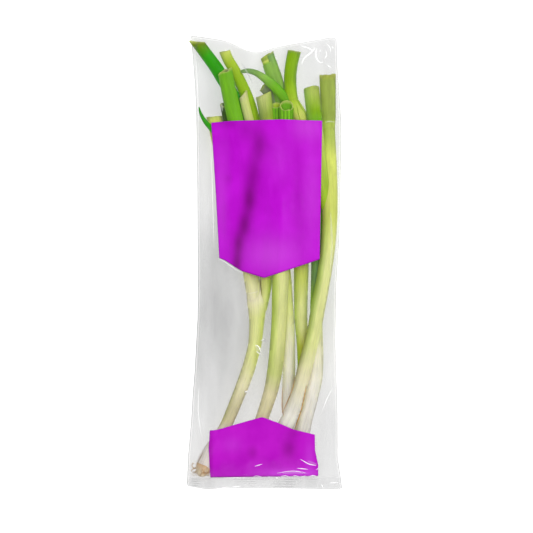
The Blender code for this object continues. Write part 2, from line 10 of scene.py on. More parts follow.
import bmesh
import bpy
import numpy as np
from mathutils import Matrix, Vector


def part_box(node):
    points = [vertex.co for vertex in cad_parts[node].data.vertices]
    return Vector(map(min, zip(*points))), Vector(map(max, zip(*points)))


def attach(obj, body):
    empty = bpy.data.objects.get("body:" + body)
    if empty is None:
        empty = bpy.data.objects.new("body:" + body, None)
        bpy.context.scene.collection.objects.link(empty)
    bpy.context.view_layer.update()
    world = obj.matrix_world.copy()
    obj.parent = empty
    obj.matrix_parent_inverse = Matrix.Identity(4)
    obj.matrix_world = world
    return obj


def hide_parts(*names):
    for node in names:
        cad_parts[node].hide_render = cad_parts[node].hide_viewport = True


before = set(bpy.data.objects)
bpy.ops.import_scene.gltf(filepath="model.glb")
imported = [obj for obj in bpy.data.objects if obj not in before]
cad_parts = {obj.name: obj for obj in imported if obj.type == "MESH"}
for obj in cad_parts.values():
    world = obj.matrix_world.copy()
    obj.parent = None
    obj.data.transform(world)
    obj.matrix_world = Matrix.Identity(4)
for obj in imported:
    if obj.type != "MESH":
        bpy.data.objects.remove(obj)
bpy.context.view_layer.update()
MM = 0.001

# %% [markdown]
# Every onion is a bulb, a pale stem and a few hollow leaves. Each of those is a tube along a route.
# A route could be drawn as a curve object, but its width, colour and veins all change along it, so
# plain rows of x, y and half width in millimetres are easier to read and to bend. They're the same
# routes that the solid parts follow, listed from the root end upwards.

# %% Routes of the stems
STEMS = {
    "onion_3": [(18.7, -122.8, 3.4), (18.9, -117.4, 4.9), (19.2, -106, 5.2), (19.4, -94, 5.1),
                (19.6, -74, 5.0), (19, -50, 5.0), (17, -20.4, 5.1), (13.2, 10, 5.6), (8.4, 34, 6.1)],
    "onion_4": [(29.2, -98.8, 3.8), (29.8, -93.2, 5.2), (31, -83.6, 4.9), (30.6, -64.4, 4.9),
                (29.2, -46, 5.1), (29.2, -22, 5.6), (29.4, 0.4, 6.0), (28.4, 22, 6.1)],
    "onion_6": [(26.4, -160.4, 4.6), (26.9, -154, 6.6), (28.6, -142.8, 6.6), (31.9, -126.8, 6.2),
                (36.7, -110, 5.8), (40.2, -94, 5.9), (41.5, -74, 5.6), (41.4, -54, 5.0), (41.7, -34.8, 5.1),
                (42.4, -14, 5.3), (42.8, 10, 5.6), (41.2, 38, 5.9), (37.6, 66, 6.2), (34, 90, 6.5),
                (29.4, 114, 6.6), (23.2, 126.8, 5.4)],
    "onion_1": [(-48.8, -166, 5.0), (-47.8, -163, 6.6), (-46.4, -159.6, 7.3), (-44.7, -155.2, 6.8),
                (-42.9, -150.7, 5.9), (-40.3, -146, 5.2), (-31.6, -131.6, 4.8), (-22.2, -110, 5.0),
                (-12.4, -83.6, 5.3), (-7.6, -64.2, 5.4), (-6.4, -49.6, 5.9), (-6.1, -39.9, 6.9),
                (-6.2, -30, 8.1), (-5.4, -22, 8.8)],
    "onion_2": [(-13.2, -160.4, 5.0), (-12, -154.8, 7.2), (-8.8, -145.2, 6.4), (-5, -134, 5.4),
                (-1.4, -122.8, 5.2), (5.1, -102.8, 5.7), (8.6, -83.6, 6.1), (10.6, -64.4, 6.2),
                (11.8, -44.4, 6.2), (12.6, -20.4, 6.5), (13.6, 6, 6.7), (14, 38, 7.0), (14.2, 66, 7.4)],
    "onion_5": [(6, -160.4, 4.8), (7.2, -154.8, 7.4), (10.9, -144.4, 7.2), (17.6, -129.2, 6.6),
                (22.8, -118, 5.9), (26.5, -106, 5.5), (30.9, -90.4, 5.8), (35, -74, 5.7), (39.6, -54, 5.5),
                (42.9, -34.8, 5.8), (47, -14, 5.6), (50.4, 10, 5.8), (52.1, 34, 6.0), (52.2, 58, 6.2),
                (51.8, 82, 5.8), (51.4, 102, 5.3), (51.3, 109.2, 5.2)],
}
print("onions:", len(STEMS))

# %% Routes of the leaves
LEAVES = {
    "onion_3": [
        [(10.8, 24.4, 3.5), (4.4, 58, 4.9), (-2.8, 90, 5.2), (-8.8, 114.5, 5.3), (-14, 131.9, 5.0),
         (-22.2, 150.4, 4.6), (-28.8, 162, 4.4), (-31.8, 169.2, 4.4)],
        [(9.2, 22, 3.5), (-0.4, 58, 4.7), (-11.6, 94, 5.0), (-18.8, 118, 5.2), (-26.8, 136.4, 5.3),
         (-33.2, 146.8, 5.3), (-38.2, 155.2, 5.3), (-45.2, 164.9, 5.0), (-52, 174, 4.8)],
        [(1.2, 70, 2.0), (-5.2, 94, 3.0), (-12.1, 113.6, 3.7), (-16.3, 130.4, 3.6), (-17, 134.6, 3.5)],
    ],
    "onion_4": [
        [(28.4, 14, 3.5), (26.8, 46, 4.8), (22.8, 78, 5.0), (17.6, 110, 5.3), (13.2, 130, 5.6),
         (9, 145.5, 5.8), (5.5, 155.2, 6.0), (1.8, 166, 6.0)],
        [(22, 82, 2.6), (18, 107, 3.6), (12.2, 123.6, 4.1), (5.4, 134, 4.4), (-1.2, 141.4, 4.4)],
    ],
    "onion_6": [
        [(26, 118, 4.2), (21.6, 132.4, 5.0), (20.6, 146, 5.0), (21.6, 158, 5.0), (24, 169.2, 5.2)],
        [(22, 123.6, 2.8), (16.4, 130.8, 3.5), (10.8, 138, 3.9), (4.4, 143.8, 3.7), (-2, 148.8, 3.0),
         (-7.8, 152.1, 2.4), (-14, 153.4, 1.9), (-18.2, 152.8, 1.3)],
    ],
    "onion_1": [
        [(-13, 2, 3.0), (-17.6, 38, 4.0), (-23.6, 82, 4.2), (-28.4, 110, 4.2), (-31.2, 126.4, 4.2)],
        [(-7.8, -38, 3.6), (-8.8, -24, 5.9), (-10.3, -12.4, 6.3), (-17.2, 22, 5.8),
         (-26.8, 62, 6.0), (-36.4, 98.8, 6.2), (-40.2, 116, 6.3)],
        [(-31, 88, 1.5), (-38, 100.6, 1.9), (-42.8, 107.2, 2.0), (-46.8, 111.9, 1.8), (-50.5, 118, 1.3),
         (-52.6, 124, 0.7)],
        [(-1.6, -38, 3.4), (0.9, -24, 4.0), (1.6, -12.4, 4.9), (-2.2, 18, 5.6),
         (-10, 54, 5.8), (-17.2, 90, 6.0), (-23.2, 114.5, 6.2), (-27.3, 131.9, 6.1), (-31.4, 152.4, 6.0)],
    ],
    "onion_2": [
        [(10.8, 58, 3.2), (10, 90, 3.9), (9.5, 112, 4.0), (9.4, 125.8, 4.0)],
        [(16.4, 58, 4.2), (17.2, 90, 4.9), (17.5, 112, 5.2), (17.6, 125.6, 5.4)],
        [(12, 30, 3.0), (9, 58, 4.6), (4.4, 90, 5.0), (2, 114, 5.6), (-0.9, 134.4, 6.4)],
    ],
    "onion_5": [
        [(50, 38, 3.5), (46, 66, 5.2), (42.4, 94, 5.6), (39.6, 118, 6.0), (37.6, 139.2, 6.3)],
        [(51.3, 98, 4.0), (51.1, 114, 5.9), (50.8, 130, 6.3), (50.6, 150.2, 6.5)],
    ],
}
# The number of the leaf that lies on the other leaves of its own onion
LYING_ON_OWN = {"onion_3": 3, "onion_1": 3}
# Where a stem flattens into its leaves: from and to in mm along the bag, and the share of height left
NECKS = {"onion_1": (-52, -22, 0.4)}
print("leaves:", sum(len(leaves) for leaves in LEAVES.values()))

# %% Outline of the bag
LEFT_FOLD = [(-181.8, -62.5), (-156, -61.5), (-127, -59), (-104, -57.6), (-88, -56.2), (-45, -53.8),
             (-23, -53.5), (60, -54), (116, -54.8), (141, -55.8), (181.8, -59)]
RIGHT_FOLD = [(-181.8, 62.5), (-170, 61.1), (-156, 58.8), (-123, 58.8), (-90, 57.8), (-64, 57.0),
              (-20, 57.6), (19, 60.2), (98, 61.9), (116, 61.6), (155, 58.8), (181.8, 58)]
MOUTH = [(-62, 181.8), (-58, 181.8), (-50, 180.9), (-35.5, 178.6), (-28.6, 176.9), (-20.7, 173),
         (-13.8, 169.7), (-6.9, 168.5), (-1.7, 169.2), (6.2, 171.8), (19.2, 174.5), (36.6, 177.5),
         (51.3, 180.3), (55.5, 180.6), (58, 178.6)]
SEALED_END = [(-62.5, -177.6), (-61.2, -179.4), (-54.6, -180.4), (-46.8, -181.8), (-40.7, -181.6),
              (-32.9, -180.5), (-19, -180.8), (19.2, -181.2), (53.8, -181.8), (61.7, -181.4), (62.5, -180)]
bag_low, bag_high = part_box("film_bag")
BAG_LENGTH = bag_high.y - bag_low.y
SEAL_LENGTH = 10 * MM
SEAL_LINE = SEAL_LENGTH - BAG_LENGTH / 2
MOUTH_REACH = 60 * MM
FOLD_HEIGHT = 3 * MM
FOLD_REACH = 6 * MM
FILM_WALL = 0.8 * MM
CLEARANCE = 0.4 * MM
print("bag length in mm:", round(BAG_LENGTH / MM, 1))

# %% [markdown]
# Heights aren't in the routes, because a bunch finds them itself: each onion is laid on the bag's
# lower film and on the onions that were laid before it. A rigid body simulation could drop them, but
# it would also move them sideways, away from their places. So each point of a tube is lifted until it
# clears what lies under it, and then the tube is made stiff, so that it bridges the hollows.

# %% Curves, and the heights at which they rest
STEM_STEP = 11 * MM
LEAF_STEP = 14 * MM
CONTACT_STEP = 2 * MM
STEM_FLATNESS = 0.94
LEAF_FLATNESS = 0.72
TALLEST_HALF = 6.2 * MM
ROOT_LENGTH = 6.0 * MM
ROOT_DEPTH = 2.6 * MM
ROOT_REST = 4.8 * MM
ROOT_END = 2.0 * MM
ROOT_SPREAD = {"onion_1": 7.5 * MM, "onion_2": 5.0 * MM, "onion_5": 5.0 * MM, "onion_6": 5.0 * MM,
               "onion_3": 3.0 * MM, "onion_4": 3.0 * MM}
SETTLING_TURNS = 90
# The share of a tube's half width within which the lower film's fold still lifts it
FOLD_SHARE = 0.4


def along_table(table, at):
    """Reads a table of pairs in millimetres at places in metres, with straight lines between its rows."""
    table = np.array(table) * MM
    return np.interp(at, table[:, 0], table[:, 1])


def smooth_route(points, step):
    """A Catmull-Rom curve: each span is a cubic whose slopes come from the points on both sides."""
    p = np.array(points, float)
    p = np.vstack([2 * p[0] - p[1], p, 2 * p[-1] - p[-2]])
    found = []
    for a, b, c, d in zip(p[:-3], p[1:-2], p[2:-1], p[3:]):
        count = max(1, round(np.linalg.norm((c - b)[:2]) / step))
        t = np.arange(count)[:, None] / count
        found.append(0.5 * (2 * b + (c - a) * t + (2 * a - 5 * b + 4 * c - d) * t**2
                            + (3 * b - a - 3 * c + d) * t**3))
    return np.vstack([*found, p[-2]])


def near_fold(distance):
    """A smooth step from 0 at FOLD_REACH away to 1 at the fold."""
    near = np.clip(1 - distance / FOLD_REACH, 0, 1)
    return near**2 * (3 - 2 * near)


def resting_height(route, half, placed):
    """The lowest centre height that clears the film below and every tube already placed."""
    x, y = route[:, 0], route[:, 1]
    distance = np.minimum(x - along_table(LEFT_FOLD, y), along_table(RIGHT_FOLD, y) - x)
    distance -= FILM_WALL + FOLD_SHARE * route[:, 2]
    height = FILM_WALL + CLEARANCE + half + FOLD_HEIGHT * near_fold(distance)
    if len(placed):
        apart = np.linalg.norm(route[:, None, :2] - placed[None, :, :2], axis=2)
        reach = route[:, 2][:, None] + placed[:, 3][None] + CLEARANCE
        inside = np.clip(1 - (apart / reach) ** 2, 0, None)
        lift = placed[:, 2][None] + np.sqrt(inside) * (half[:, None] + placed[:, 4][None] + 2 * CLEARANCE)
        height = np.maximum(height, np.where(inside > 0, lift, 0).max(axis=1))
    return height


def relaxed(height, held=None):
    """A stiff line over its supports: each turn takes the neighbours' mean, never less than the support."""
    z = height.copy()
    for _ in range(SETTLING_TURNS):
        ends = np.concatenate([[2 * z[0] - z[1]], z, [2 * z[-1] - z[-2]]])
        z = np.maximum(height, 0.25 * ends[:-2] + 0.5 * ends[1:-1] + 0.25 * ends[2:])
        if held is not None:
            z[0] = held
    return z


def with_height(route, flatness, placed, held=None):
    """Rows of x, y, z, half width and half height along one tube."""
    half = np.minimum(flatness * route[:, 2], TALLEST_HALF)
    z = relaxed(resting_height(route, half, placed), held)
    return np.column_stack([route[:, :2], z, route[:, 2], half])


def walked(points):
    """The length of a line of points from its first point to each."""
    return np.concatenate([[0], np.cumsum(np.linalg.norm(np.diff(points, axis=0), axis=1))])


def dense(tube, step=CONTACT_STEP):
    """The same tube with a row every step, by straight lines between its rows."""
    length = walked(tube[:, :3])
    at = np.linspace(0, length[-1], max(2, int(length[-1] / step)))
    return np.column_stack([np.interp(at, length, tube[:, k]) for k in range(tube.shape[1])])


# %% Lay the onions on each other
def root_space(name, stem):
    """A short flat row past the root end, as wide as the roots spread."""
    away = stem[0, :3] - stem[1, :3]
    away /= np.linalg.norm(away)
    tip = stem[0].copy()
    tip[:3] += away * ROOT_LENGTH
    tip[1] = max(tip[1], ROOT_END + SEAL_LINE)
    tip[2:] = ROOT_REST, ROOT_SPREAD[name], ROOT_DEPTH
    return np.vstack([tip, stem[0]])


def lay_out():
    """All tubes of all onions with their heights, in the order in which they were laid."""
    placed = np.zeros((0, 5))
    plants = {}
    for name, points in STEMS.items():
        route = smooth_route(np.array(points) * MM, STEM_STEP)
        first, last, share = NECKS.get(name, (0, 1, 1.0))
        flatness = STEM_FLATNESS * np.interp(route[:, 1], [first * MM, last * MM], [1.0, share])
        stem = with_height(route, flatness, placed)
        tubes = [stem]
        own = [dense(stem), dense(root_space(name, stem))]
        for number, leaf_points in enumerate(LEAVES[name], start=1):
            route = smooth_route(np.array(leaf_points) * MM, LEAF_STEP)
            start = np.vstack(own)
            nearest = start[np.argmin(np.linalg.norm(start[:, :2] - route[0, :2], axis=1))]
            below = np.vstack([placed, *own]) if LYING_ON_OWN.get(name) == number else placed
            leaf = with_height(route, LEAF_FLATNESS, below, held=nearest[2])
            tubes.append(leaf)
            own.append(dense(leaf))
        placed = np.vstack([placed, *own])
        plants[name] = tubes
    return plants, placed


plants, contents = lay_out()
print("highest leaf or stem in mm:", round(float((contents[:, 2] + contents[:, 4]).max()) / MM, 1))

# %% [markdown]
# Every surface here is a grid of points: rows along it and columns across it. Building faces one by
# one would be slow, so whole arrays of points, quads, colours and texture coordinates are handed to
# the mesh at once. A grid that closes on itself, such as a tube, joins its last column to its first.

# %% Turn grids of points into meshes
MERGE_REACH = 0.001 * MM
SHARP_DEGREES = 55


def patch(points, around, colour, across=1.0, along=None):
    """One grid: its points, whether its columns close into a ring, its colours and its texture scales."""
    rows, columns = points.shape[:2]
    colour = np.broadcast_to(np.asarray(colour, float), (rows, columns, 3))
    along = np.linspace(0, 1, rows) if along is None else along
    return {"points": points, "around": around, "colour": colour, "across": across, "along": along}


def grid_quads(rows, columns, around):
    """Row and column of each quad's corners: here, one column on, one row and column on, one row on."""
    spans = columns if around else columns - 1
    r, c = np.meshgrid(np.arange(rows - 1), np.arange(spans), indexing="ij")
    row = np.stack([r, r, r + 1, r + 1], axis=-1).reshape(-1, 4)
    column = np.stack([c, c + 1, c + 1, c], axis=-1).reshape(-1, 4)
    return row, column


def build_piece(name, patches, material, nodes):
    """One mesh from several grids: merges points that lie together, and turns the faces outwards."""
    points, quads, colours, coordinates, first = [], [], [], [], 0
    for one in patches:
        rows, columns = one["points"].shape[:2]
        row, column = grid_quads(rows, columns, one["around"])
        quads.append(first + row * columns + column % columns)
        coordinates.append(np.stack([column / columns * one["across"], one["along"][row]], axis=-1))
        points.append(one["points"].reshape(-1, 3))
        colours.append(np.insert(one["colour"].reshape(-1, 3), 3, 1.0, axis=1))
        first += rows * columns
    mesh = bpy.data.meshes.new(name)
    mesh.from_pydata(np.vstack(points).tolist(), [], np.vstack(quads).tolist())
    skin = mesh.uv_layers.new(name="skin")
    skin.data.foreach_set("uv", np.vstack(coordinates).astype(np.float32).ravel())
    tint = mesh.attributes.new("tint", "FLOAT_COLOR", "POINT")
    tint.data.foreach_set("color", np.vstack(colours).astype(np.float32).ravel())
    work = bmesh.new()
    work.from_mesh(mesh)
    bmesh.ops.remove_doubles(work, verts=work.verts, dist=MERGE_REACH)
    bmesh.ops.recalc_face_normals(work, faces=work.faces)
    work.to_mesh(mesh)
    work.free()
    mesh.materials.append(material)
    mesh.shade_smooth()
    mesh.set_sharp_from_angle(angle=math.radians(SHARP_DEGREES))
    piece = bpy.data.objects.new(name, mesh)
    bpy.context.scene.collection.objects.link(piece)
    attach(piece, "root")
    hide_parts(*nodes)
    print(f"{name}: {len(mesh.polygons)} faces")
    return piece


def thicken(piece, thickness, offset):
    """Gives a sheet a wall: an offset of -1 grows it inwards from the sheet, and 1 outwards."""
    wall = piece.modifiers.new("wall", "SOLIDIFY")
    wall.thickness, wall.offset = thickness, offset

# %% [markdown]
# Skin, leaves and roots are never one colour: a spring onion fades from white at the bulb through
# pale yellow-green to deep green at the leaf tips. A ramp over height would do for one straight
# stem, but here every leaf has its own greens, so the colours are named once and each tube lists
# which one it has at which place along the bag.

# %% Name the colours of the plants
def linear(red, green, blue):
    """Screen colour to light: the standard curve, a power of 2.4 above its short straight foot."""
    value = np.array([red, green, blue]) / 255
    return np.where(value <= 0.04045, value / 12.92, ((value + 0.055) / 1.055) ** 2.4)


GREENS = {
    "white": (244, 240, 228), "ivory": (242, 238, 214), "cream": (238, 232, 190),
    "butter": (230, 233, 156), "straw": (228, 222, 150), "pale": (218, 228, 110),
    "lime": (176, 206, 52), "bright": (134, 178, 0), "leaf": (116, 184, 30), "deep": (48, 166, 0),
    "grey": (124, 164, 98), "dull": (176, 180, 60), "olive": (132, 122, 4), "tan": (200, 202, 76),
    "dark": (66, 98, 30), "blush": (227, 218, 211), "skin": (206, 164, 112), "spring": (160, 200, 26),
    "sand": (206, 198, 158), "moss": (92, 146, 0), "dusk": (146, 158, 118), "jade": (148, 194, 84),
    "reed": (160, 180, 78), "sage": (180, 200, 90), "rye": (208, 216, 134), "bark": (158, 138, 116),
    "wheat": (210, 160, 88), "chalk": (232, 228, 216), "flax": (226, 218, 174), "oat": (224, 228, 152),
}
GREENS = {name: linear(*screen) for name, screen in GREENS.items()}
print("named greens:", len(GREENS))

# %% Say which colour each tube has where
# One list for each stem, then for each of its leaves, as pairs of a place along the bag in mm and a colour
COLOURS = {
    "onion_3": [
        [(-104, "white"), (-70, "ivory"), (-40, "butter"), (0, "pale"), (34, "lime")],
        [(30, "lime"), (118, "spring"), (146, "spring"), (160, "lime"), (170, "pale")],
        [(30, "bright"), (118, "deep"), (165, "deep"), (171, "moss"), (175, "olive")],
        [(70, "dull"), (106, "pale"), (113, "rye"), (128, "rye"), (136, "sand")],
    ],
    "onion_4": [
        # The olive tan round -68 mm on onion_4's stem, next to where onion_5 crosses it, is painted shade
        [(-98, "cream"), (-84, "lime"), (-68, "tan"), (-52, "butter"), (-36, "butter"), (-12, "pale"),
         (6, "pale"), (26, "bright")],
        [(20, "bright"), (110, "leaf"), (130, "jade")],
        [(90, "dark"), (104, "grey"), (120, "grey"), (134, "dusk")],
    ],
    "onion_6": [
        [(-163, "skin"), (-158, "blush"), (-145, "chalk"), (-124, "chalk"), (-100, "white"),
         (-70, "ivory"), (-54, "butter"), (-36, "spring"), (-12, "grey"), (30, "leaf"), (96, "lime"),
         (118, "pale"), (128, "lime")],
        [(114, "pale"), (128, "lime"), (136, "spring"), (146, "bright")],
        [(140, "leaf"), (149, "jade"), (154, "grey")],
    ],
    "onion_1": [
        [(-166, "skin"), (-165, "blush"), (-138, "blush"), (-128, "sand"), (-116, "sand"),
         (-98, "cream"), (-74, "butter"), (-44, "butter"), (-30, "cream")],
        [(20, "leaf"), (110, "dark")],
        [(-30, "cream"), (-8, "butter"), (40, "pale")],
        [(124, "deep")],
        [(-30, "butter"), (-8, "pale"), (40, "bright"), (110, "leaf")],
    ],
    "onion_2": [
        [(-163, "skin"), (-158, "blush"), (-148, "white"), (-130, "flax"), (-104, "flax"),
         (-88, "rye"), (-64, "butter"), (-40, "oat"), (-12, "oat"), (10, "pale"), (40, "lime"),
         (66, "bright")],
        [(127, "leaf")],
        [(127, "leaf")],
        [(100, "lime"), (118, "reed"), (135, "rye")],
    ],
    "onion_5": [
        [(-163, "skin"), (-158, "blush"), (-142, "chalk"), (-120, "chalk"), (-92, "cream"),
         (-66, "oat"), (0, "oat"), (36, "pale"), (84, "pale"), (100, "sage")],
        [(40, "spring"), (104, "sage"), (112, "leaf"), (120, "bright"), (134, "sage")],
        [(112.6, "sage"), (113.6, "reed"), (146, "reed"), (151, "tan")],
    ],
}
# A strip of another colour along one side: partly the onion's own colour, partly painted shade on left
# edges and painted light on some right edges, as the light from the right falls. Its columns: -1 for left or
# 1 for right, the colour, its two ends in mm, how narrow the strip is and how strong
FLANK_COLOUR_AND_SHADE = {
    ("onion_2", 0): [(-1, "lime", -92, 34, 0.8, 0.95)],
    ("onion_5", 0): [(-1, "bright", -84, 46, 0.7, 0.8), (-1, "olive", -116, -40, 3.0, 0.7)],
    ("onion_6", 0): [(-1, "straw", -150, -100, 2, 0.6), (1, "butter", -110, -20, 1.2, 0.5)],
    ("onion_1", 0): [(1, "pale", -90, -30, 1.3, 0.8), (-1, "dull", -150, -76, 2.5, 0.5)],
    ("onion_1", 4): [(1, "lime", -40, 10, 1.2, 0.7)],
    ("onion_5", 1): [(-1, "jade", 90, 170, 1.2, 0.8)],
    ("onion_4", 0): [(-1, "spring", -96, 10, 1.3, 0.65)],
    ("onion_3", 0): [(1, "straw", -122, -60, 2, 0.3), (-1, "lime", -60, 10, 1.5, 0.5)],
    ("onion_3", 1): [(-1, "bright", 60, 150, 1.5, 0.6)],
    ("onion_3", 3): [(1, "pale", 96, 140, 1.6, 0.7)],
    ("onion_4", 1): [(1, "dusk", 120, 170, 1.5, 0.5)],
    ("onion_6", 1): [(1, "grey", 125, 172, 3.0, 0.5)],
    ("onion_6", 2): [(1, "deep", 118, 150, 1.5, 0.3)],
    ("onion_2", 3): [(-1, "grey", 60, 140, 1.5, 0.6), (1, "spring", 60, 146, 1.0, 0.7)],
}


print("tubes with colours:", sum(len(tubes) for tubes in COLOURS.values()))


def colour_along(stops, y):
    """The named colours of a tube, blended linearly between the places that its list gives."""
    places = np.array([place for place, _ in stops]) * MM
    values = np.array([GREENS[name] for _, name in stops])
    return np.stack([np.interp(y, places, values[:, k]) for k in range(3)], axis=-1)


def with_flank_colour_and_shade(colour, y, turn, flanks):
    """Mixes in side strips of colour, painted shade and painted light: strength times a power of the side's
    cosine, with a rise and fall along y.
    """
    for side, name, first, last, narrow, strength in flanks:
        reach = np.clip((y / MM - first) / (last - first), 0, 1)
        along = np.sin(np.pi * reach) ** 0.6
        across = np.clip(side * np.cos(turn), 0, 1) ** narrow
        share = (strength * along[:, None] * across[None])[..., None]
        colour = colour * (1 - share) + GREENS[name] * share
    return colour


# %% [markdown]
# A spring onion's skin has fine veins that run its whole length, a slight sheen, and it lets a
# little light through. The veins follow each tube, so they're drawn from the tube's own texture
# coordinates: round it and along it, in decimetres. Both the skin and the roots have such streaks,
# so they're one node group with the streak's spacing as an input.

# %% Short ways to make shader nodes
def wire(tree, node, inputs):
    """Links each input that is given a socket, and sets each that is given a value."""
    for key, value in inputs.items():
        if hasattr(value, "is_linked"):
            tree.links.new(value, node.inputs[key])
        else:
            node.inputs[key].default_value = value
    return node


def add_node(tree, kind, inputs, **settings):
    """A new node with its settings and its inputs."""
    node = tree.nodes.new("ShaderNode" + kind)
    for name, value in settings.items():
        setattr(node, name, value)
    return wire(tree, node, inputs)


def new_group(name, inputs, outputs):
    """An empty shader group with the sockets named in inputs and outputs."""
    group = bpy.data.node_groups.new(name, "ShaderNodeTree")
    for socket, value in inputs.items():
        kind = "NodeSocketFloat" if isinstance(value, float) else "NodeSocketColor"
        group.interface.new_socket(socket, in_out="INPUT", socket_type=kind).default_value = value
    for socket in outputs:
        kind = "NodeSocketColor" if socket == "Colour" else "NodeSocketFloat"
        group.interface.new_socket(socket, in_out="OUTPUT", socket_type=kind)
    return group, group.nodes.new("NodeGroupInput").outputs, group.nodes.new("NodeGroupOutput")


def math_node(tree, operation, a, b):
    """The result of a Math node on two sockets or numbers."""
    return add_node(tree, "Math", {0: a, 1: b}, operation=operation).outputs[0]


def noise_on(tree, place, scale, detail):
    """A noise texture at a place that is first multiplied by a scale for each direction."""
    scaled = add_node(tree, "VectorMath", {0: place, 1: scale}, operation="MULTIPLY").outputs[0]
    return add_node(tree, "TexNoise", {"Scale": 1.0, "Detail": detail, "Vector": scaled}).outputs[0]


def object_place(tree):
    """The place on the object, in metres."""
    return add_node(tree, "TexCoord", {}).outputs["Object"]


# %% Shader group for lengthwise streaks
DECIMETRE = 0.1
# Streaks and broad bands: their spacing round the tube and along it, and the noise's detail
STREAK_LAYERS = ((1.0, 0.06, 3.0), (0.24, 0.012, 1.0))
BLOTCHES = (90, 45, 90)


def streaks_group():
    """One plus three noises, each less a half and times its strength: streaks, bands and blotches."""
    group, given, out = new_group(
        "lengthwise_streaks",
        {"Streaks per decimetre": 160.0, "Strength": 0.2, "Colour": (0.5, 0.5, 0.5, 1), "Bands": 0.0,
         "Blotches": 0.0}, ["Colour", "Height"])
    skin = add_node(group, "UVMap", {}, uv_map="skin").outputs[0]
    noises = []
    for across, along, detail in STREAK_LAYERS:
        spacing = add_node(group, "CombineXYZ", {0: math_node(group, "MULTIPLY", given[0], across),
                                                 1: math_node(group, "MULTIPLY", given[0], along)})
        noises.append(noise_on(group, skin, spacing.outputs[0], detail))
    noises.append(noise_on(group, object_place(group), BLOTCHES, 3.0))
    factor = 1.0
    for noise, strength in zip(noises, (given[1], given[3], given[4])):
        centred = math_node(group, "SUBTRACT", noise, 0.5)
        factor = math_node(group, "ADD", math_node(group, "MULTIPLY", centred, strength), factor)
    shaded = add_node(group, "VectorMath", {0: given[2], "Scale": factor}, operation="SCALE")
    wire(group, out, {0: shaded.outputs[0], 1: noises[0]})
    return group


STREAKS = streaks_group()
print("shader group with", len(STREAKS.nodes), "nodes")

# %% Skin and root materials
def plain_material(name, inputs):
    """A Principled material with its tree and its shader, whose inputs are the same all over."""
    made = bpy.data.materials.new(name)
    made.use_nodes = True
    return made, made.node_tree, wire(made.node_tree, made.node_tree.nodes["Principled BSDF"], inputs)


def add_relief(tree, shader, height, strength, distance):
    """Bump from a height socket: the distance is how far a step of 1 in it stands out."""
    bump = add_node(tree, "Bump", {"Strength": strength, "Distance": distance, "Height": height})
    wire(tree, shader, {"Normal": bump.outputs[0]})


def tint_of(tree):
    """The colours that a mesh keeps at its points."""
    return add_node(tree, "Attribute", {}, attribute_name="tint").outputs["Color"]


def streaked_material(name, inputs, per_decimetre, strengths, relief):
    """Tint times streaks for colour, and the streaks as relief; strengths: fine, bands, blotches."""
    made, tree, shader = plain_material(name, inputs)
    fine, bands, blotches = strengths
    streaks = add_node(tree, "Group", {0: per_decimetre, 1: fine, 2: tint_of(tree), 3: bands, 4: blotches},
                       node_tree=STREAKS)
    wire(tree, shader, {"Base Color": streaks.outputs[0]})
    add_relief(tree, shader, streaks.outputs[1], 0.5, relief)
    return made


skin_material = streaked_material("onion_skin", {
    "Roughness": 0.46, "Specular IOR Level": 0.14, "Subsurface Weight": 0.12,
    "Subsurface Radius": (0.8, 1.0, 0.3), "Subsurface Scale": 1.2 * MM}, 130.0, (0.44, 0.36, 0.42), 0.1 * MM)
root_material = streaked_material("dry_root", {"Roughness": 0.85}, 240.0, (0.9, 0.3, 0.4), 0.1 * MM)
print("materials:", skin_material.name, root_material.name)

# %% [markdown]
# Now the tubes themselves. Each has an oval section that follows its route, with faint ribs and a
# little waviness, because nothing that grew is a perfect tube. A stem closes in a dome. A cut leaf
# is hollow: its skin folds over a pale rim and runs back down inside, and the knife has cut it at a
# slant. Subdividing a coarse cage would round these rims away, so the grid has rows where the
# rim is.

# %% Sections along a route
STEM_SIDES = 48
LEAF_SIDES = 40
FINE_STEP = 1.6 * MM
LEAF_WALL = 0.9 * MM
HOLLOW_DEPTH = 14 * MM
THIN_LEAF = 2.0 * MM
SHOULDER = 4 * MM
# Sections are never perfect: how far slow waves move them, as a share of their width
WAVINESS = 0.018


def frames(path):
    """Along is the path's slope, side is level and square to it, and up is square to both."""
    along = np.gradient(path, axis=0)
    along /= np.linalg.norm(along, axis=1)[:, None]
    side = np.cross(along, [0, 0, 1.0])
    side /= np.linalg.norm(side, axis=1)[:, None]
    return along, side, np.cross(side, along)


def soft_noise(shape, knots, seed):
    """Smooth noise on a grid: random values at a few knots, blended by a cosine between them."""
    values = np.random.default_rng(seed).uniform(-1, 1, (knots[0] + 2, knots[1] + 2))
    for axis in (0, 1):
        at = np.linspace(0, knots[axis], shape[axis])
        low = np.minimum(at.astype(int), knots[axis])
        part = 0.5 - 0.5 * np.cos(np.pi * (at - low))
        part = part[:, None] if axis == 0 else part[None, :]
        values = np.take(values, low, axis) * (1 - part) + np.take(values, low + 1, axis) * part
    return values


def rib_relief(rows, sides, ribs, depth, seed):
    """Ribs as a cosine round the section, each row the same, plus slow waves that differ along the tube."""
    turn = np.linspace(0, 2 * np.pi, sides, endpoint=False)
    wave = soft_noise((rows, 4), (max(2, rows // 12), 3), seed)
    slow = wave[:, :1] * np.cos(turn) + wave[:, 1:2] * np.sin(turn) + wave[:, 2:3] * np.cos(2 * turn)
    return 1 + depth * np.cos(ribs * turn)[None] + WAVINESS * slow


def oval_rows(tube, relief, sides):
    """Each section: centre plus side times width times cosine, minus up times height times sine."""
    along, side, up = frames(tube[:, :3])
    turn = np.linspace(0, 2 * np.pi, sides, endpoint=False) + np.pi / 2
    across = np.cos(turn)[None, :, None] * side[:, None] * (tube[:, 3:4] * relief)[..., None]
    tall = np.sin(turn)[None, :, None] * -up[:, None] * (tube[:, 4:5] * relief)[..., None]
    return tube[:, None, :3] + across + tall, along, turn


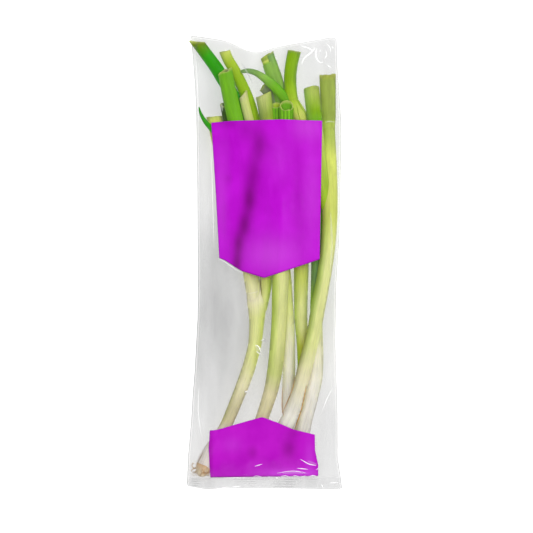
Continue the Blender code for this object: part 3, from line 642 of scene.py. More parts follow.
def scaled_rows(tube, row, offsets, scales, flatter=1.0):
    """Copies of one end row, moved along the slope: width times its scale, height times a power of it."""
    along = frames(tube[:, :3])[0][row]
    rows = np.repeat(tube[row][None], len(offsets), axis=0)
    rows[:, :3] += along * np.array(offsets)[:, None]
    rows[:, 3] *= scales
    rows[:, 4] *= np.array(scales) ** flatter
    return rows


print("section noise spans", np.round(np.ptp(soft_noise((40, 4), (4, 3), 1)), 2))


# %% Cut, domed and pointed ends
# Slant is how much further the underside reaches than the top, lean how much further the right side
# reaches than the left, both in mm. Ribs and their depth are for leaves with strong pleats.
ENDS = {
    ("onion_1", 0): {"neck": 8, "flatter": 1.3, "depth": 0.003},
    ("onion_3", 1): {"slant": 0.6, "lean": -1.2}, ("onion_3", 2): {"slant": 0.5, "lean": -7.5, "reach": 3.6},
    ("onion_3", 3): {"slant": 0.0, "lean": 6.0},
    ("onion_4", 1): {"slant": 0.4, "lean": 2.0, "reach": -6.4},
    ("onion_4", 2): {"slant": 2.0, "lean": 1.5, "torn": 1.0, "inside": "dusk"},
    ("onion_6", 1): {"slant": 0.8, "lean": 0.9, "inside": "dull"},
    ("onion_1", 1): {"slant": 3.0, "lean": -1.0}, ("onion_1", 2): {"slant": 0.2, "lean": -1.6, "reach": 0.8},
    ("onion_1", 4): {"slant": 1.6, "lean": 2.4, "reach": 0.8, "torn": 0.9},
    ("onion_2", 1): {"slant": 4.4, "lean": 0.6, "reach": 0.2, "ribs": 9, "depth": 0.05,
                     "inside": "lime", "wall": 0.5},
    ("onion_2", 2): {"slant": 7.0, "lean": 0.0, "reach": -0.6, "ribs": 11, "depth": 0.06,
                     "inside": "leaf", "wall": 0.5, "torn": 0.8},
    ("onion_2", 3): {"slant": 0.8, "lean": 3.0}, ("onion_5", 1): {"slant": 0.4, "lean": 1.0},
    ("onion_5", 2): {"slant": 0.3, "lean": 0.6, "torn": 0.9},
}
RIM_COLOUR = linear(196, 208, 110)
# The inside of a cut leaf in a darker green: painted shade in the hollow
HOLLOW_SHADE_COLOUR = linear(96, 128, 44)
RIM_REACH = 1.2 * MM
RIM_SHARE = 0.75
TEAR_REACH = 1.5 * MM
SLANT_REACH = 12 * MM
PLEAT_SHADE = 0.38
# The rounded start of a tube: how far before its first row in mm, and how wide it is there
START = ((-0.36, -0.32, -0.18), (0.0, 0.55, 0.86))
# How far each closed end reaches, in shares of its neck, and how wide it still is there
CLOSED_ENDS = {"dome": ((0.18, 0.36, 0.54, 0.7, 0.85, 0.98, 1.0), (0.99, 0.96, 0.89, 0.77, 0.58, 0.26, 0.0)),
               "point": ((0.1, 0.18, 0.2), (0.8, 0.4, 0.0))}


print("ends with a look of their own:", len(ENDS))


# %% Close or cut each tube
def slanted(points, along, turn, back, look, seed):
    """Moves the last rows along the tube by slant times the sine and lean times the cosine round it."""
    weight = np.clip(1 - back / SLANT_REACH, 0, 1)[:, None] ** 2
    torn = soft_noise((1, len(turn)), (1, 9), seed)[0] * look.get("torn", 0.35) * MM
    torn[-4:] = np.linspace(torn[-5], torn[0], 6)[1:-1]
    tilt = look.get("slant", 0) * np.sin(turn) + look.get("lean", 0) * np.cos(turn)
    shift = look.get("reach", 0) + 0.5 * tilt
    near_rim = np.clip(1 - back / TEAR_REACH, 0, 1)[:, None]
    return points + along[:, None] * (shift * MM * weight + torn * near_rim)[..., None]


def tube_patch(tube, stops, sides, end_kind, look, seed):
    """One closed grid: a pole, the outside, then a dome, a point, or a rim and the hollow inside it."""
    fine = smooth_route(tube, FINE_STEP)
    start = scaled_rows(fine, 0, np.array(START[0]) * MM, START[1])
    body = np.vstack([start, fine])
    if end_kind in CLOSED_ENDS:
        steps, scales = CLOSED_ENDS[end_kind]
        offsets = look.get("neck", SHOULDER / MM) * MM * np.array(steps)
        body = np.vstack([body, scaled_rows(fine, -1, offsets, scales, look.get("flatter", 1.0))])
    relief = rib_relief(len(body), sides, look.get("ribs", 7), look.get("depth", 0.012), seed)
    points, along, turn = oval_rows(body, relief, sides)
    colour = np.repeat(colour_along(stops, body[:, 1])[:, None], sides, axis=1)
    colour = with_flank_colour_and_shade(colour, body[:, 1], turn, look.get("flanks", []))
    if "ribs" in look:
        colour = colour * (1 + PLEAT_SHADE * np.cos(look["ribs"] * turn))[None, :, None]
    if end_kind == "hollow":
        length = walked(body[:, :3])
        back = length[-1] - length
        inner = np.flatnonzero(back < HOLLOW_DEPTH)[::-1]
        centre = body[inner, None, :3]
        wall = look.get("wall", LEAF_WALL / MM) * MM
        share = 1 - wall / np.maximum(body[inner, 4], 2 * wall)
        inside_points = centre + (points[inner] - centre) * share[:, None, None]
        points = slanted(points, along, turn, back, look, seed)
        inside_points = slanted(inside_points, along[inner], turn, back[inner], look, seed)
        pole = np.repeat(inside_points[-1:].mean(axis=1)[:, None], sides, axis=1)
        points = np.concatenate([points, inside_points, pole])
        rim = np.clip(1 - back / RIM_REACH, 0, 1)[:, None, None] * RIM_SHARE
        colour = colour * (1 - rim) + RIM_COLOUR * rim
        # Unless the leaf gives its own inside colour, the hollow is painted darker, as shade
        inside = GREENS[look["inside"]] if "inside" in look else HOLLOW_SHADE_COLOUR
        dark = np.tile(inside, (len(inside_points) + 1, sides, 1))
        dark[0] = RIM_COLOUR
        colour = np.concatenate([colour, dark])
    perimeter = 2 * np.pi * np.mean(tube[:, 3])
    return patch(points, True, colour, perimeter / DECIMETRE, walked(points[:, 0]) / DECIMETRE)


# %% [markdown]
# Where one onion lies against another, and where leaves part from a stem, the photo shows thin dry
# or dark lines. The dark lines are partly dry skin and partly painted shade in the joins, and a pale one
# on onion_1's neck is a painted highlight on a fold. A line in the texture would slide off the edge, so each
# is a very slim strip of skin that lies on whatever is highest under it, and is drawn in to a point at both
# ends.

# %% Seams between the onions
FILM_GAP = 0.25 * MM
SEAM_SIDES = 6
LINE_STEP = 0.8 * MM
SEAMS_SHADE_AND_HIGHLIGHT = {
    # The wheat lines where onions lie against each other: dry skin, and painted shade in the join
    "onion_5": [("wheat", 0.5, [(33.6, -98), (31.3, -109), (29, -118.6), (26.4, -127), (22.6, -136)]),
                ("wheat", 0.34, [(24.6, -91), (22.4, -101), (18.4, -111), (14.6, -119.6)])],
    "onion_3": [("wheat", 0.34, [(14.4, -100), (14.0, -110), (14.2, -118), (15.6, -122.6)])],
    # On onion_1 the olive line where two leaves part is painted shade, and the ivory one a painted highlight
    # on a fold
    "onion_1": [("olive", 0.42, [(-3.6, -8), (-3.2, -16), (-2.5, -23), (-2.2, -27)]),
                ("bark", 0.3, [(-49.0, -151.6), (-51.1, -155.6), (-52.8, -159.4), (-53.5, -162.0)]),
                ("ivory", 0.34, [(-13.8, -25.0), (-10, -24.4), (-6.6, -23.6), (-4.4, -22.6)])],
    "onion_6": [("bright", 0.3, [(25.7, 125.6), (26.9, 119.6), (28.6, 113)]),
                ("bright", 0.26, [(25.4, 131), (29.4, 124), (33.4, 118)])],
}


def tops_under(x, y, tubes):
    """The highest oval over each place: centre plus height times the root of 1 minus distance squared."""
    highest = np.zeros(x.shape)
    for cx, cy, cz, wide, tall in tubes:
        inside = 1 - ((x - cx) ** 2 + (y - cy) ** 2) / (wide + FILM_GAP) ** 2
        top = cz + np.sqrt(np.clip(inside, 0, None)) * (tall + FILM_GAP)
        highest = np.where(inside > 0, np.maximum(highest, top), highest)
    return highest


plant_rows = np.vstack([dense(smooth_route(tube, FINE_STEP), FINE_STEP)
                        for tubes in plants.values() for tube in tubes])


def small_tube(tube, sides, colour):
    """A slim closed tube: its rows of sections, with both ends drawn in to a point."""
    sections = oval_rows(tube, np.ones((len(tube), sides)), sides)[0]
    points = np.concatenate([np.repeat(tube[:1, None, :3], sides, axis=1), sections,
                             np.repeat(tube[-1:, None, :3], sides, axis=1)])
    return patch(points, True, colour, 0.1, np.linspace(0, 0.1, len(points)))


def seam(colour, half_width, points):
    """A slim strip whose height is the running mean of what it lies on, and whose width is a half sine."""
    route = smooth_route(np.array(points) * MM, LINE_STEP)
    height = tops_under(route[:, 0], route[:, 1], plant_rows) - 0.1 * MM
    ends = np.concatenate([height[:1], height, height[-1:]])
    height = (ends[:-2] + ends[1:-1] + ends[2:]) / 3
    wide = half_width * MM * np.sin(np.pi * np.linspace(0.08, 0.92, len(route)))
    return small_tube(np.column_stack([route, height, wide, 0.5 * wide]), SEAM_SIDES, GREENS[colour])


print("seams:", sum(len(lines) for lines in SEAMS_SHADE_AND_HIGHLIGHT.values()))

# %% Build the six onions
# Leaves that show inside a cut leaf: its number, how far right of it and below its top in mm, the
# places along it in mm, their half widths, the end's look and the colours
INNER = {
    "onion_4": [(1, (2.3, 0.0), (132, 145, 156, 167.4), (2.4, 3.2, 3.4, 3.4), {"lean": 1.2},
                 [(130, "jade"), (156, "jade"), (168, "grey")]),
                (1, (-1.4, 0.5), (150, 156, 160, 165.4), (3.6, 4.1, 4.2, 4.3), {"lean": 2.2},
                 [(150, "leaf"), (159, "leaf"), (161.2, "pale"), (162.4, "reed"), (167, "lime")])],
}


def inner_leaf(leaf, offset, places, widths):
    """A tube beside a leaf's middle line, with its top below the leaf's top."""
    at = np.array(places) * MM
    x, z, tall = (np.interp(at, leaf[:, 1], leaf[:, k]) for k in (0, 2, 4))
    wide = np.array(widths) * MM
    half = LEAF_FLATNESS * wide
    return np.column_stack([x + offset[0] * MM, at, z + tall - half - offset[1] * MM, wide, half])


INNER_SEED = 90
SEEDS_PER_ONION = 20


def onion(name, number):
    """Bulb, stem and leaves of one onion in one piece."""
    patches = []
    for k, (leaf, offset, places, widths, look, stops) in enumerate(INNER.get(name, [])):
        tube = inner_leaf(plants[name][leaf], offset, places, widths)
        patches.append(tube_patch(tube, stops, LEAF_SIDES, "hollow", look, INNER_SEED + k))
    for k, (tube, stops) in enumerate(zip(plants[name], COLOURS[name])):
        kind = "dome" if k == 0 else "hollow" if tube[-1, 3] > THIN_LEAF else "point"
        sides = STEM_SIDES if k == 0 else LEAF_SIDES
        look = {**ENDS.get((name, k), {}), "flanks": FLANK_COLOUR_AND_SHADE.get((name, k), [])}
        patches.append(tube_patch(tube, stops, sides, kind, look, SEEDS_PER_ONION * number + k))
    patches += [seam(*line) for line in SEAMS_SHADE_AND_HIGHLIGHT.get(name, [])]
    build_piece(name + "_plant", patches, skin_material, [name])


for number, name in enumerate(plants):
    onion(name, number)

# %% [markdown]
# The roots are trimmed short: a woody plate under the bulb with a fringe of thin curled strands, brown
# where they dried. Hair particles could make them, but they wouldn't be a solid mesh, so each
# strand is a slim tube with a few dozen faces. A strand leaves the plate, fans out and curls, and
# is kept between the two sides of the film.

# %% Strands and fibres
STRANDS = 34
STRAND_ROWS = 15
STRAND_SIDES = 5
STRAND_RADIUS = 0.22 * MM
SEAL_REACH = 7 * MM
# How far the plate reaches past the bulb in mm, and its width as a share of the bulb's
PLATE = ((0.18, 0.0), (0.2, 0.7), (0.35, 0.93), (0.9, 0.86), (1.5, 0.6), (1.7, 0.0))
PLATE_SIDES = 20
ROOT_BROWN, ROOT_PALE = linear(196, 150, 100), linear(232, 212, 176)
PLATE_BROWN = linear(176, 128, 78)
draw = np.random.default_rng(11)


def inside_bag(points, rise):
    """Keeps points on the bag's side of the seal and above the lower film, which rises at the seal."""
    past_seal = np.maximum(points[:, 1] - SEAL_LINE, 0.6 * ROOT_END)
    points[:, 1] = past_seal + SEAL_LINE
    film = FILM_WALL + CLEARANCE + rise * np.clip(1 - past_seal / SEAL_REACH, 0, 1)
    points[:, 2] = np.maximum(points[:, 2], film)
    return points


def fibre_tube(points, widest, thinner, pale):
    """Rows of a fibre that gets thinner along it, and a tone drawn between brown and a paler colour."""
    radius = STRAND_RADIUS * np.linspace(widest, widest - thinner, STRAND_ROWS) * draw.uniform(0.7, 1.2)
    tone = draw.uniform(0, 1)
    return np.column_stack([points, radius, radius]), ROOT_BROWN * tone + pale * (1 - tone)


def strand(start, away, side, up, name):
    """A root: straight away from the plate, fanned out with the power 1.5 of its length, and curled."""
    t = np.linspace(0, 1, STRAND_ROWS)[:, None]
    turn = draw.uniform(0, 2 * math.pi)
    spread = ROOT_SPREAD[name] * draw.uniform(0.3, 1.0)
    length = draw.uniform(2.5, 6.5) * MM
    fan = side * math.cos(turn) * spread + up * math.sin(turn) * ROOT_DEPTH * 0.6
    first = (side * math.cos(turn) * 2.6 + up * math.sin(turn) * 2.0) * MM
    curl = draw.uniform(0.3, 1.1) * MM * t**0.7
    phase, loops = draw.uniform(0, 6.3), draw.uniform(4, 11)
    wave = side * np.sin(loops * t + phase) * curl + away * np.cos(loops * t + phase) * curl
    points = start + first + away * length * t + fan * t**1.5 + wave - wave[:1]
    points[:, 2] += (ROOT_REST - points[:, 2]) * t[:, 0] ** 2 * 0.8
    return fibre_tube(inside_bag(points, FOLD_HEIGHT), 1.15, 0.7, ROOT_PALE)


def mat_fibre(stem, along, side, up):
    """A dry fibre: it starts on the bulb's skin, follows it down and frays past the bulb's end."""
    t = np.linspace(0, 1, STRAND_ROWS)[:, None]
    turn = draw.uniform(0, 2 * math.pi)
    first, last = -draw.uniform(1.0, 3.6) * MM, draw.uniform(2.0, 6.4) * MM
    reach = first + (last - first) * t
    grow = np.interp(-reach, [0, 3.2 * MM, 7 * MM], [1.02, 1.36, 1.5])
    past = np.clip(reach / MM, 0, None) / 6
    grow = grow * (1 - 0.55 * past) + 0.35 * past * draw.uniform(-0.6, 1.6)
    wave = 0.35 * MM * np.sin(draw.uniform(4, 9) * t + draw.uniform(0, 6.3)) * past
    points = (stem[0, :3] - along * reach + side * (math.cos(turn) * stem[0, 3] * grow + wave)
              + up * math.sin(turn) * stem[0, 4] * grow)
    return fibre_tube(inside_bag(points, 0), 1.25, 0.6, GREENS["skin"])


# %% Mat and curls of the bulb that shows
# A dense mat that hides a bulb's end, and loose curls beside it: x, y in mm, with the mat's half width
MATS = {"onion_1": [[(-47.6, -162.2, 7.0), (-48.4, -164.6, 6.6), (-48.6, -166.6, 6.0),
                     (-48.0, -168.4, 5.4), (-47.4, -169.6, 4.5), (-47.1, -170.4, 3.0)]]}
CURLS = {"onion_1": [[(-53.2, -164.0), (-56.0, -164.8), (-58.0, -163.4), (-57.8, -161.2), (-56.4, -160.8)],
                     [(-53.4, -164.6), (-56.6, -165.2), (-58.6, -166.4), (-58.0, -167.4)],
                     [(-52.8, -165.0), (-54.4, -166.4), (-55.8, -168.4)],
                     [(-53.4, -163.2), (-55.2, -164.4), (-57.2, -165.6)]]}
MAT_TIP = -170.6 * MM
MAT_SIDES = 32
MAT_EDGE, MAT_PALE = linear(200, 148, 94), linear(232, 214, 182)
CURL_STEP, CURL_HEIGHT, CURL_RADIUS = 0.5 * MM, 4.0 * MM, 0.42 * MM


def mat_patches(stem, name):
    """The mat lies between the heights of bulb and roots, and the curls at one height beside it."""
    places = [MAT_TIP, *stem[:4, 1]]
    patches = []
    for points in MATS.get(name, []):
        route = smooth_route(np.array(points) * MM, LINE_STEP)
        height = np.interp(route[:, 1], places, [ROOT_REST, *stem[:4, 2]])
        tall = np.interp(route[:, 1], places, [0.8 * ROOT_DEPTH, *stem[:4, 4]]) + 0.14 * MM
        share = np.linspace(1, 0, len(route) + 2)[:, None, None] ** 5
        tube = np.column_stack([route[:, :2], height, route[:, 2], tall])
        patches.append(small_tube(tube, MAT_SIDES, MAT_EDGE * share + MAT_PALE * (1 - share)))
    for points in CURLS.get(name, []):
        route = smooth_route(np.array(points) * MM, CURL_STEP)
        radius = np.linspace(CURL_RADIUS, 0.7 * CURL_RADIUS, len(route))
        tube = np.column_stack([route, np.full(len(route), CURL_HEIGHT), radius, radius])
        patches.append(small_tube(tube, STRAND_SIDES, 0.5 * (ROOT_PALE + ROOT_BROWN)))
    return patches


# %% Build the roots
def roots(name):
    """The plate, its strands and, on a bulb that shows, its mat."""
    stem = plants[name][0]
    along, side, up = (direction[0] for direction in frames(stem[:, :3]))
    plate = np.array([[*(stem[0, :3] - along * d * MM), r * stem[0, 3], r * stem[0, 4]] for d, r in PLATE])
    points = oval_rows(plate, rib_relief(len(plate), PLATE_SIDES, 9, 0.05, 3), PLATE_SIDES)[0]
    patches = [patch(points, True, PLATE_BROWN, 0.3, np.linspace(0, 0.05, len(plate)))]
    patches += mat_patches(stem, name)
    start = stem[0, :3] - along * 0.9 * MM
    for _ in range(STRANDS):
        for tube, colour in (strand(start, -along, side, up, name), mat_fibre(stem, along, side, up)):
            patches.append(small_tube(tube, STRAND_SIDES, colour))
    build_piece(name + "_root_tuft", patches, root_material, [name + "_roots"])


for name in plants:
    roots(name)

# %% [markdown]
# The film is a tube of clear plastic, pressed flat: it has a top, an underside and two long side
# folds. Cloth simulation could drape it, but the film must stay where the folds and the seal are, so
# its height is worked out as a stretched skin instead: it may not sink into an onion, and
# everywhere else it takes the mean height of its neighbours.

# %% Grid of the film
FILM_COLUMNS = 92
SEAL_ROWS = 18
BODY_ROWS = 198
MOUTH_ROWS = 6
MOUTH_EDGE = 4 * MM
SKIN_TURNS = 900
FOLD_MIDDLE = 3.6 * MM
FILM_INSET = 0.2 * MM
UNDERSIDE = 0.34 * MM
# Shares: of even spacing among the columns, and of the pull across the bag on the stretched film
EVENNESS = 0.7
PULL_ACROSS = 0.62


def film_plan(rows, columns):
    """Places of the film's points: columns crowd towards the folds, and the ends bend to their outlines."""
    y = (rows + SEAL_LINE)[:, None]
    left, right = along_table(LEFT_FOLD, y) + FILM_INSET, along_table(RIGHT_FOLD, y) - FILM_INSET
    even = np.linspace(0, 1, columns)
    share = EVENNESS * even + (1 - EVENNESS) * (0.5 - 0.5 * np.cos(np.pi * even))
    x = left + (right - left) * share
    y = np.broadcast_to(y, x.shape).copy()
    near_mouth = np.clip(1 - (BAG_LENGTH / 2 - y) / MOUTH_REACH, 0, 1) ** 2
    near_seal = np.clip((SEAL_LINE - y) / SEAL_LENGTH, 0, 1)
    y += near_mouth * (along_table(MOUTH, x) - BAG_LENGTH / 2 - FILM_INSET)
    y += near_seal * (along_table(SEALED_END, x) + BAG_LENGTH / 2 + FILM_INSET)
    return x, y


mouth_row = BAG_LENGTH - SEAL_LENGTH
film_rows = np.concatenate([np.linspace(-SEAL_LENGTH, 0, SEAL_ROWS, endpoint=False),
                            np.linspace(0, mouth_row - MOUTH_EDGE, BODY_ROWS, endpoint=False),
                            mouth_row - np.linspace(MOUTH_EDGE, 0, MOUTH_ROWS)])
film_x, film_y = film_plan(film_rows, FILM_COLUMNS)
root_rows = [dense(root_space(name, tubes[0])) for name, tubes in plants.items()]
fine_contents = np.vstack([plant_rows, *root_rows])
content_top = tops_under(film_x, film_y, fine_contents)
print("film grid:", film_x.shape, "content rows:", len(fine_contents))


# %% Stretch the film over the onions
def stretched(x, y, need, turns):
    """Each turn gives every point the mean height of its four neighbours, weighted by how near they are."""
    left, right = np.diff(x, axis=1)[1:-1, :-1], np.diff(x, axis=1)[1:-1, 1:]
    down, up = np.diff(y, axis=0)[:-1, 1:-1], np.diff(y, axis=0)[1:, 1:-1]
    z = need.copy()
    for _ in range(turns):
        z[:, 0] = z[:, -1] = z[:SEAL_ROWS] = FOLD_MIDDLE
        across = (z[1:-1, :-2] / left + z[1:-1, 2:] / right) / (1 / left + 1 / right)
        along = (z[:-2, 1:-1] / down + z[2:, 1:-1] / up) / (1 / down + 1 / up)
        pulled = PULL_ACROSS * across + (1 - PULL_ACROSS) * along
        z[1:-1, 1:-1] = np.maximum(need[1:-1, 1:-1], pulled)
        z[-1, 1:-1] = np.maximum(need[-1, 1:-1], 0.5 * (z[-1, :-2] + z[-1, 2:]))
    return z


need = np.maximum(content_top + FILM_GAP, FOLD_MIDDLE)
film_top = stretched(film_x, film_y, need, SKIN_TURNS)
print("film top reaches", round(float(film_top.max()) / MM, 2), "mm")


# %% [markdown]
# A stretched skin alone looks like glass. Real film keeps soft lengthwise waves where nothing lifts
# it, and a ribbed weld where hot bars pressed its two sides
# together. They're added as heights too, always outwards, so that the film stays clear of the onions.

# %% Waves and the ribbed seal
COVER_INSET = 0.9 * MM
FREE_LIFT = 3 * MM
EDGE_REACH = 5 * MM
SEAL_FADE = 8 * MM
RIB_SPACING = 2.1 * MM
RIB_HEIGHT = 0.09 * MM
SEAL_WAVE = 0.35 * MM
SEAL_DROOP = 1.2 * MM
WELD = 0.25 * MM


def film_relief(shape):
    """Long soft waves, stronger where the film is free, from three layers of smooth noise."""
    wide, middle, small = (soft_noise(shape, knots, seed) for knots, seed
                           in (((7, 11), 5), ((22, 26), 6), ((60, 44), 7)))
    return 0.9 * np.clip(wide, 0, None) + 0.35 * np.clip(middle, 0, None) + 0.12 * small


free = np.clip((film_top - content_top) / FREE_LIFT, 0, 1)
open_leaves = [dense(smooth_route(tube, FINE_STEP), FINE_STEP)
               for tubes in plants.values() for tube in tubes]
open_leaves = np.vstack([rows[:len(rows) - int(rows[-1, 3] / FINE_STEP)] for rows in open_leaves])
open_leaves[:, 3] -= COVER_INSET
covered = tops_under(film_x, film_y, open_leaves) > 0
side_distance = np.minimum(film_x - film_x[:, :1], film_x[:, -1:] - film_x)
fade = np.clip(side_distance / EDGE_REACH, 0, 1) * np.clip(film_rows / SEAL_FADE, 0, 1)[:, None]
film_top += film_relief(film_x.shape) * MM * (0.25 + 0.75 * free) * fade
seal = film_rows < 0.0
ripple = RIB_HEIGHT * np.cos(2 * np.pi * film_rows[seal] / RIB_SPACING)[:, None]
wave = SEAL_WAVE * soft_noise((int(seal.sum()), FILM_COLUMNS), (2, 9), 8)
film_top[seal] = FOLD_MIDDLE + ripple + wave + SEAL_DROOP * film_rows[seal][:, None] / SEAL_LENGTH
film_low = UNDERSIDE + (FOLD_MIDDLE - UNDERSIDE) * near_fold(np.minimum(side_distance, film_rows[:, None]))
film_low[seal] = film_top[seal] - WELD
film_low[:, [0, -1]] = film_top[:, [0, -1]]
print("free share of the film:", round(float(free.mean()), 2))

# %% [markdown]
# Where wet leaves touch the film it clears, and where it stands off them it has a faint haze in a dark
# grey, which is partly the film's own haze and partly painted shade. That is why the seal and the empty
# margins look pale grey. So the film's tint attribute holds three masks and not a colour: red for haze
# and painted shade, green for pale creases and rims, which are painted highlights, and blue for the seal.

# %% Masks on the film
# Haze over the leaves, off them, in a broad bell of painted shade on the empty film left of the onions, and
# at the weld; then the bell's middle and reach
COVERED_HAZE, FREE_HAZE_AND_SHADE, SHADE_PATCH_HAZE, WELD_HAZE = 0.10, 1.06, 0.95, 0.2
SHADE_PATCH_MIDDLE = (-22 * MM, -42 * MM)
SHADE_PATCH_REACH = (58 * MM, 70 * MM)
WELD_REACH = 1.2 * MM

across, along = ((place - middle) / reach for place, middle, reach
                 in zip((film_x, film_y), SHADE_PATCH_MIDDLE, SHADE_PATCH_REACH))
# Off the leaves the film gets a grey haze that is partly its own and partly painted shade
haze = np.where(covered, COVERED_HAZE, FREE_HAZE_AND_SHADE + SHADE_PATCH_HAZE * np.exp(-across**2 - along**2))
rim_distance = np.minimum(side_distance, (film_rows[-1] - film_rows)[:, None])
end_distance = (film_rows - film_rows[0])[:, None]
# A thin grey line runs round the bag's edge, with a pale band just inside it, where a little crease white
# paints a highlight on the fold
haze = haze * np.interp(rim_distance, np.array([0, 0.8, 1.7]) * MM, [2.2, 0.35, 1.0])
haze = haze * np.interp(end_distance, np.array([0, 0.55, 1.2]) * MM, [2.0, 0.6, 1.0])
crease = 0.06 * np.interp(rim_distance, np.array([0.3, 0.9, 1.5]) * MM, [0.0, 1.0, 0.0])
weld = np.clip(-film_rows / WELD_REACH, 0, 1)[:, None] * np.ones(film_x.shape)
lines = 0.5 + 0.5 * np.cos(2 * np.pi * film_rows / RIB_SPACING)[:, None]
patches = np.clip(soft_noise(film_x.shape, (9, 14), 12), 0, 1)
crease = np.maximum(crease, weld * lines**3 * patches * 0.3)
film_masks = np.stack([haze + WELD_HAZE * weld, crease, weld], axis=-1)
print("haze from", round(float(haze.min()), 2), "to", round(float(haze.max()), 2))

# %% Film material
# Colours of the film where it is hazy, a dark grey that also paints shade, and where it is creased, a
# white that paints highlights, and the scales of its noises
SHADE_GREY_FILM, PALE_FILM = (0.22, 0.22, 0.22, 1), (0.92, 0.92, 0.93, 1)
FOLD_SHADE_MOTTLE, GRAIN = (60, 14, 20), (260, 260, 260)


def film_group():
    """Alpha rises with haze, with a slow mottle from noise that paints the shade of soft folds, and more at
    creases and the seal.
    """
    group, given, out = new_group("film_haze", {"Masks": (0, 0, 0, 1), "Clear": 0.03, "Haze_and_shade": 0.09},
                                  ["Alpha", "Colour", "Height"])
    hazy, creased, sealed = add_node(group, "SeparateColor", {0: given[0]}).outputs
    place = object_place(group)
    haze_and_shade = math_node(group, "MULTIPLY", hazy, given[2])
    mottle = math_node(group, "MULTIPLY", noise_on(group, place, FOLD_SHADE_MOTTLE, 2.0), 0.7)
    haze_and_shade = math_node(group, "MULTIPLY", haze_and_shade, math_node(group, "ADD", mottle, 0.65))
    alpha = math_node(group, "ADD", haze_and_shade, given[1])
    for mask, share in ((creased, 0.35), (sealed, 0.012)):
        alpha = math_node(group, "ADD", alpha, math_node(group, "MULTIPLY", mask, share))
    pale = math_node(group, "MAXIMUM", creased, math_node(group, "MULTIPLY", sealed, 0.2))
    mix = add_node(group, "Mix", {"A": SHADE_GREY_FILM, "B": PALE_FILM, "Factor": pale}, data_type="RGBA")
    wire(group, out, {0: alpha, 1: mix.outputs["Result"], 2: noise_on(group, place, GRAIN, 2.0)})
    return group


def film_material(name, clear, haze_and_shade):
    """Glossy film whose alpha comes from its masks."""
    made, tree, shader = plain_material(name, {"Roughness": 0.12, "Specular IOR Level": 0.2})
    film = add_node(tree, "Group", {0: tint_of(tree), 1: clear, 2: haze_and_shade}, node_tree=film_group())
    wire(tree, shader, {"Alpha": film.outputs[0], "Base Color": film.outputs[1]})
    add_relief(tree, shader, film.outputs[2], 0.25, 0.1 * MM)
    return made


bag_material = film_material("clear_film", 0.006, 0.088)

# %% Build the bag
FILM_THICKNESS = 0.12 * MM


def there_and_back(top, low):
    """Rings of values that run left to right over the top and back along the underside."""
    return np.concatenate([top, low[:, ::-1][:, 1:-1]], axis=1)


def bag():
    """The film in rings, which close to a line at the sealed end."""
    rings = there_and_back(*(np.stack([film_x, film_y, z], axis=-1) for z in (film_top, film_low)))
    masks = there_and_back(film_masks, film_masks)
    end = rings[:1].copy()
    end[..., 2] = film_top[0].mean() - WELD / 2
    sheet = patch(np.concatenate([end, rings]), True, np.concatenate([masks[:1], masks]))
    thicken(build_piece("film_bag_clear", [sheet], bag_material, ["film_bag"]), FILM_THICKNESS, -1.0)


bag()

# %% [markdown]
# Hard creases, the bag's rim and the marks where the film clings to a stem catch the light as thin
# white lines. These glints are painted: bump alone would blur them at this scale, so each is a very slim
# raised tube in a white that glows a little, which lies on the film along a few given points.

# %% Creases that catch the light
CREASE_SIDES = 6
CREASE_LIFT = 0.05 * MM
# Creases that lie over the lower panel, within this half width and below this line, are lifted more
PANEL_HALF, PANEL_LINE, PANEL_TOP = 43 * MM, -134 * MM, 0.26 * MM
